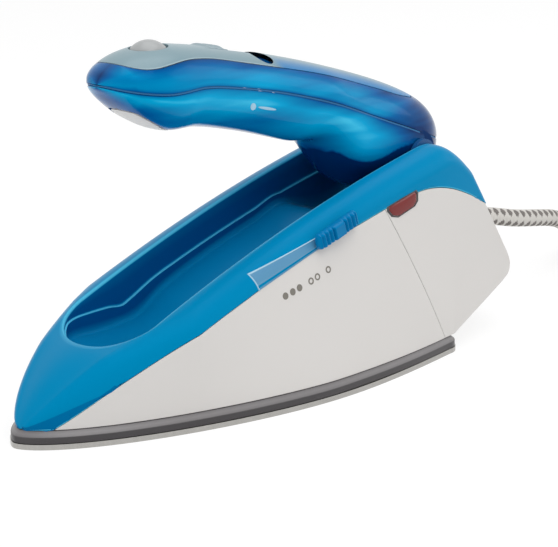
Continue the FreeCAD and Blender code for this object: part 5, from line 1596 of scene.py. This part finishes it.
class BuildCord(bpy.types.Operator):
    """Strain relief, braided lead with its stored coil, and the moulded plug"""
    bl_idname = "iron.cord"
    bl_label = "Cord and plug"

    def execute(self, context):
        line = cord_line(cord_points())
        obj = settle(tube_along("supply_cord", line, CORD_RADIUS), 60)
        finish_piece(obj, "iron_base", "braided_lead", braided_polyester, "lead", "lead_coil", "plug_tail")
        self.relief()
        plug = self.plug()
        return {"FINISHED"}

    def relief(self):
        """Strain relief: a tapered sleeve turned about the cord's first run, with soft ribs."""
        wide, narrow, length, plugged = 6.0, 4.4, 20.0, -9.4
        t = np.linspace(0, 1, 81)
        ends = ease(t, 0.28, 0.36) * (1 - ease(t, 0.9, 0.96))
        ribs = 0.42 * np.clip(np.sin(2 * math.pi * t * 6.5), -1, 0) * ends
        outer = np.column_stack([wide + (narrow - wide) * t + ribs, length * t])
        root, mouth = [(0, plugged), (5.0, plugged), (5.0, 0)], [(4.3, 20.1), (3.6, 20.1), (0, 19.6)]
        profile = root + outer.tolist() + mouth
        obj = turned("strain_relief_sleeve", profile, 48)
        way = Vector((-1, 0, -0.13)).normalized()
        start = Vector((HEEL + 13, 0, 40.0))
        put(obj, Matrix.Translation(start) @ way.to_track_quat("Z", "Y").to_matrix().to_4x4())
        settle(obj, 50)
        finish_piece(obj, "iron_base", "black_rubber", moulded_black_rubber, "strain_relief")

    def plug(self):
        """Plug body: rounded block that narrows to the cord, with grip grooves on its sides."""
        low, high = (np.array(corner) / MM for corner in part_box("plug_body"))
        middle, size = (low + high) / 2, (high - low) / 2
        u = np.linspace(0, 1, 61)
        narrow = 0.62 + 0.38 * ease(u, 0.0, 0.5)
        grooves = np.clip(np.sin(2 * math.pi * u * 7), 0, 1)
        grip = 1 - 0.05 * grooves * ease(u, 0.12, 0.2) * (1 - ease(u, 0.55, 0.65))
        close = quarter((1 - np.abs(2 * u - 1)) / 0.1)
        full = 0.9 + 0.1 * close
        angle = np.linspace(0, 2 * math.pi, 65)
        c, s = np.cos(angle), np.sin(angle)
        square = 0.35
        wide = (narrow * grip * full * np.sign(close))[:, None] * (np.sign(c) * np.abs(c) ** square)
        tall = (narrow ** 0.7 * full * np.sign(close))[:, None] * (np.sign(s) * np.abs(s) ** square)
        y = low[1] + (high[1] - low[1]) * u[:, None] + 0 * wide
        grid = np.stack([middle[0] + size[0] * wide, y, middle[2] + size[2] * tall], axis=-1)
        obj = settle(grid_piece("plug_moulding", [grid], inside=tuple(middle)), 40)
        return finish_piece(obj, "iron_base", "black_plug", moulded_black_pvc, "plug_body")


class FinishInnerParts(bpy.types.Operator):
    """Finishes of the CAD parts that stay: soleplate, heater, electrics, fixings and hinge"""
    bl_idname = "iron.inner"
    bl_label = "Inner parts"

    def execute(self, context):
        slots = {row["node"]: row["material_slot"] for row in frame["record"]["subparts"]}
        for name, obj in frame["nodes"].items():
            obj.data.materials.clear()
            obj.data.materials.append(once(SLOT_FINISHES[slots[name]]))
        return {"FINISHED"}


# Soft lamps, as (name, place, aim, side, power), in metres and watts
LAMPS = [
    ("key", (0.35, 0.9, 1.5), (-0.02, 0, 0.05), 1.1, 11.0),
    ("fill", (1.6, 0.1, 0.7), (0.0, 0, 0.05), 1.2, 4.5),
    ("top", (-0.3, -0.2, 1.7), (-0.02, 0, 0.05), 1.4, 9.0),
    ("back", (-1.2, 0.9, 0.8), (-0.05, 0, 0.06), 0.9, 4.0),
]


class BuildStage(bpy.types.Operator):
    """Camera, pale floor, white surround and soft lamps"""
    bl_idname = "iron.stage"
    bl_label = "Stage"

    def execute(self, context):
        self.camera(context)
        self.floor()
        self.surround(context)
        for lamp in LAMPS:
            self.lamp(*lamp)
        context.scene.view_settings.view_transform = "Standard"
        return {"FINISHED"}

    def camera(self, context):
        """Long lens at the front left of the toe, a little above the iron, barely rolled."""
        place = Vector((0.47502, 0.50851, 0.22787))
        aim = Vector((-0.01710, 0.01401, 0.040))
        roll = -0.00819
        data = bpy.data.cameras.new("view")
        data.lens = 133.9
        data.sensor_width = 36.0
        data.clip_start, data.clip_end = 0.05, 20.0
        camera = linked("view", data)
        turn = (aim - place).to_track_quat("-Z", "Y").to_matrix() @ Matrix.Rotation(roll, 3, "Z")
        camera.matrix_world = Matrix.Translation(place) @ turn.to_4x4()
        context.scene.camera = camera

    def floor(self):
        """Pale floor that keeps the shadow but shows the camera and reflections a white ground."""
        reach, drop, glow_share = 6000.0, -0.05, 0.75
        side = np.linspace(-reach, reach, 9)
        grid = np.stack(np.broadcast_arrays(side[:, None], side[None, :], drop), axis=-1)
        obj = grid_piece("floor", [grid], inside=(0, 0, -500))
        material = bpy.data.materials.new("pale_floor_paint")
        tree = empty_tree(material)
        paint = node(tree, "ShaderNodeBsdfDiffuse", Color=linear("#f4f4f4"))
        glow = node(tree, "ShaderNodeEmission", Color=(1, 1, 1, 1), Strength=1.08)
        share = node(tree, "ShaderNodeMath", {"operation": "MULTIPLY"},
                     input_0=seen(tree), input_1=glow_share)
        blend = node(tree, "ShaderNodeMixShader",
                     Fac=share.outputs[0], input_1=paint.outputs[0], input_2=glow.outputs[0])
        node(tree, "ShaderNodeOutputMaterial", Surface=blend.outputs[0])
        obj.data.materials.append(material)

    def surround(self, context):
        """White surround: full white where it is seen, softer where it lights the object."""
        world = bpy.data.worlds.new("studio")
        tree = empty_tree(world)
        strength = node(tree, "ShaderNodeMapRange", Value=seen(tree), To_Min=0.42, To_Max=1.0)
        back = node(tree, "ShaderNodeBackground", Color=(1, 1, 1, 1), Strength=strength.outputs[0])
        node(tree, "ShaderNodeOutputWorld", Surface=back.outputs[0])
        context.scene.world = world

    def lamp(self, name, place, aim, side, power):
        """Square soft lamp at a place, turned to an aim."""
        data = bpy.data.lights.new(name, "AREA")
        data.shape = "SQUARE"
        data.size = side
        data.energy = power
        place = Vector(place)
        turn = (Vector(aim) - place).to_track_quat("-Z", "Y").to_matrix().to_4x4()
        linked(name, data).matrix_world = Matrix.Translation(place) @ turn


def seen(tree):
    """1 for camera, glossy and transmission rays, 0 for the rays that only light things."""
    path = node(tree, "ShaderNodeLightPath")
    both = node(tree, "ShaderNodeMath", {"operation": "MAXIMUM"},
                input_0=path.outputs["Is Camera Ray"], input_1=path.outputs["Is Glossy Ray"])
    return node(tree, "ShaderNodeMath", {"operation": "MAXIMUM"},
                input_0=both.outputs[0], input_1=path.outputs["Is Transmission Ray"]).outputs[0]


class IronPanel(bpy.types.Panel):
    """Sizes, colours and build steps of the iron"""
    bl_idname = "VIEW3D_PT_iron"
    bl_label = "Travel iron"
    bl_space_type = "VIEW_3D"
    bl_region_type = "UI"
    bl_category = "Iron"

    def draw(self, context):
        for group in (context.scene.iron_sizes, context.scene.iron_finish):
            for name in group.bl_rna.properties.keys():
                if name not in ("rna_type", "name"):
                    self.layout.prop(group, name)
        for operator in OPERATORS:
            self.layout.operator(operator.bl_idname)


OPERATORS = (
    BuildStage, BuildCord, BuildShell, BuildHousing, BuildSole, BuildHandle, BuildControls, FinishInnerParts)
CLASSES = (IronFinish, IronSizes, IronPanel, *OPERATORS)


def register():
    """Register the classes and hang the settings on the scene."""
    for item in CLASSES:
        bpy.utils.register_class(item)
    bpy.types.Scene.iron_finish = bpy.props.PointerProperty(type=IronFinish)
    bpy.types.Scene.iron_sizes = bpy.props.PointerProperty(type=IronSizes)


def unregister():
    """Take the settings and the classes away again."""
    del bpy.types.Scene.iron_sizes
    del bpy.types.Scene.iron_finish
    for item in reversed(CLASSES):
        bpy.utils.unregister_class(item)


def main():
    """Register the classes, then build everything in order."""
    register()
    for operator in OPERATORS:
        group, name = operator.bl_idname.split(".")
        getattr(getattr(bpy.ops, group), name)()


if __name__ == "__main__":
    main()
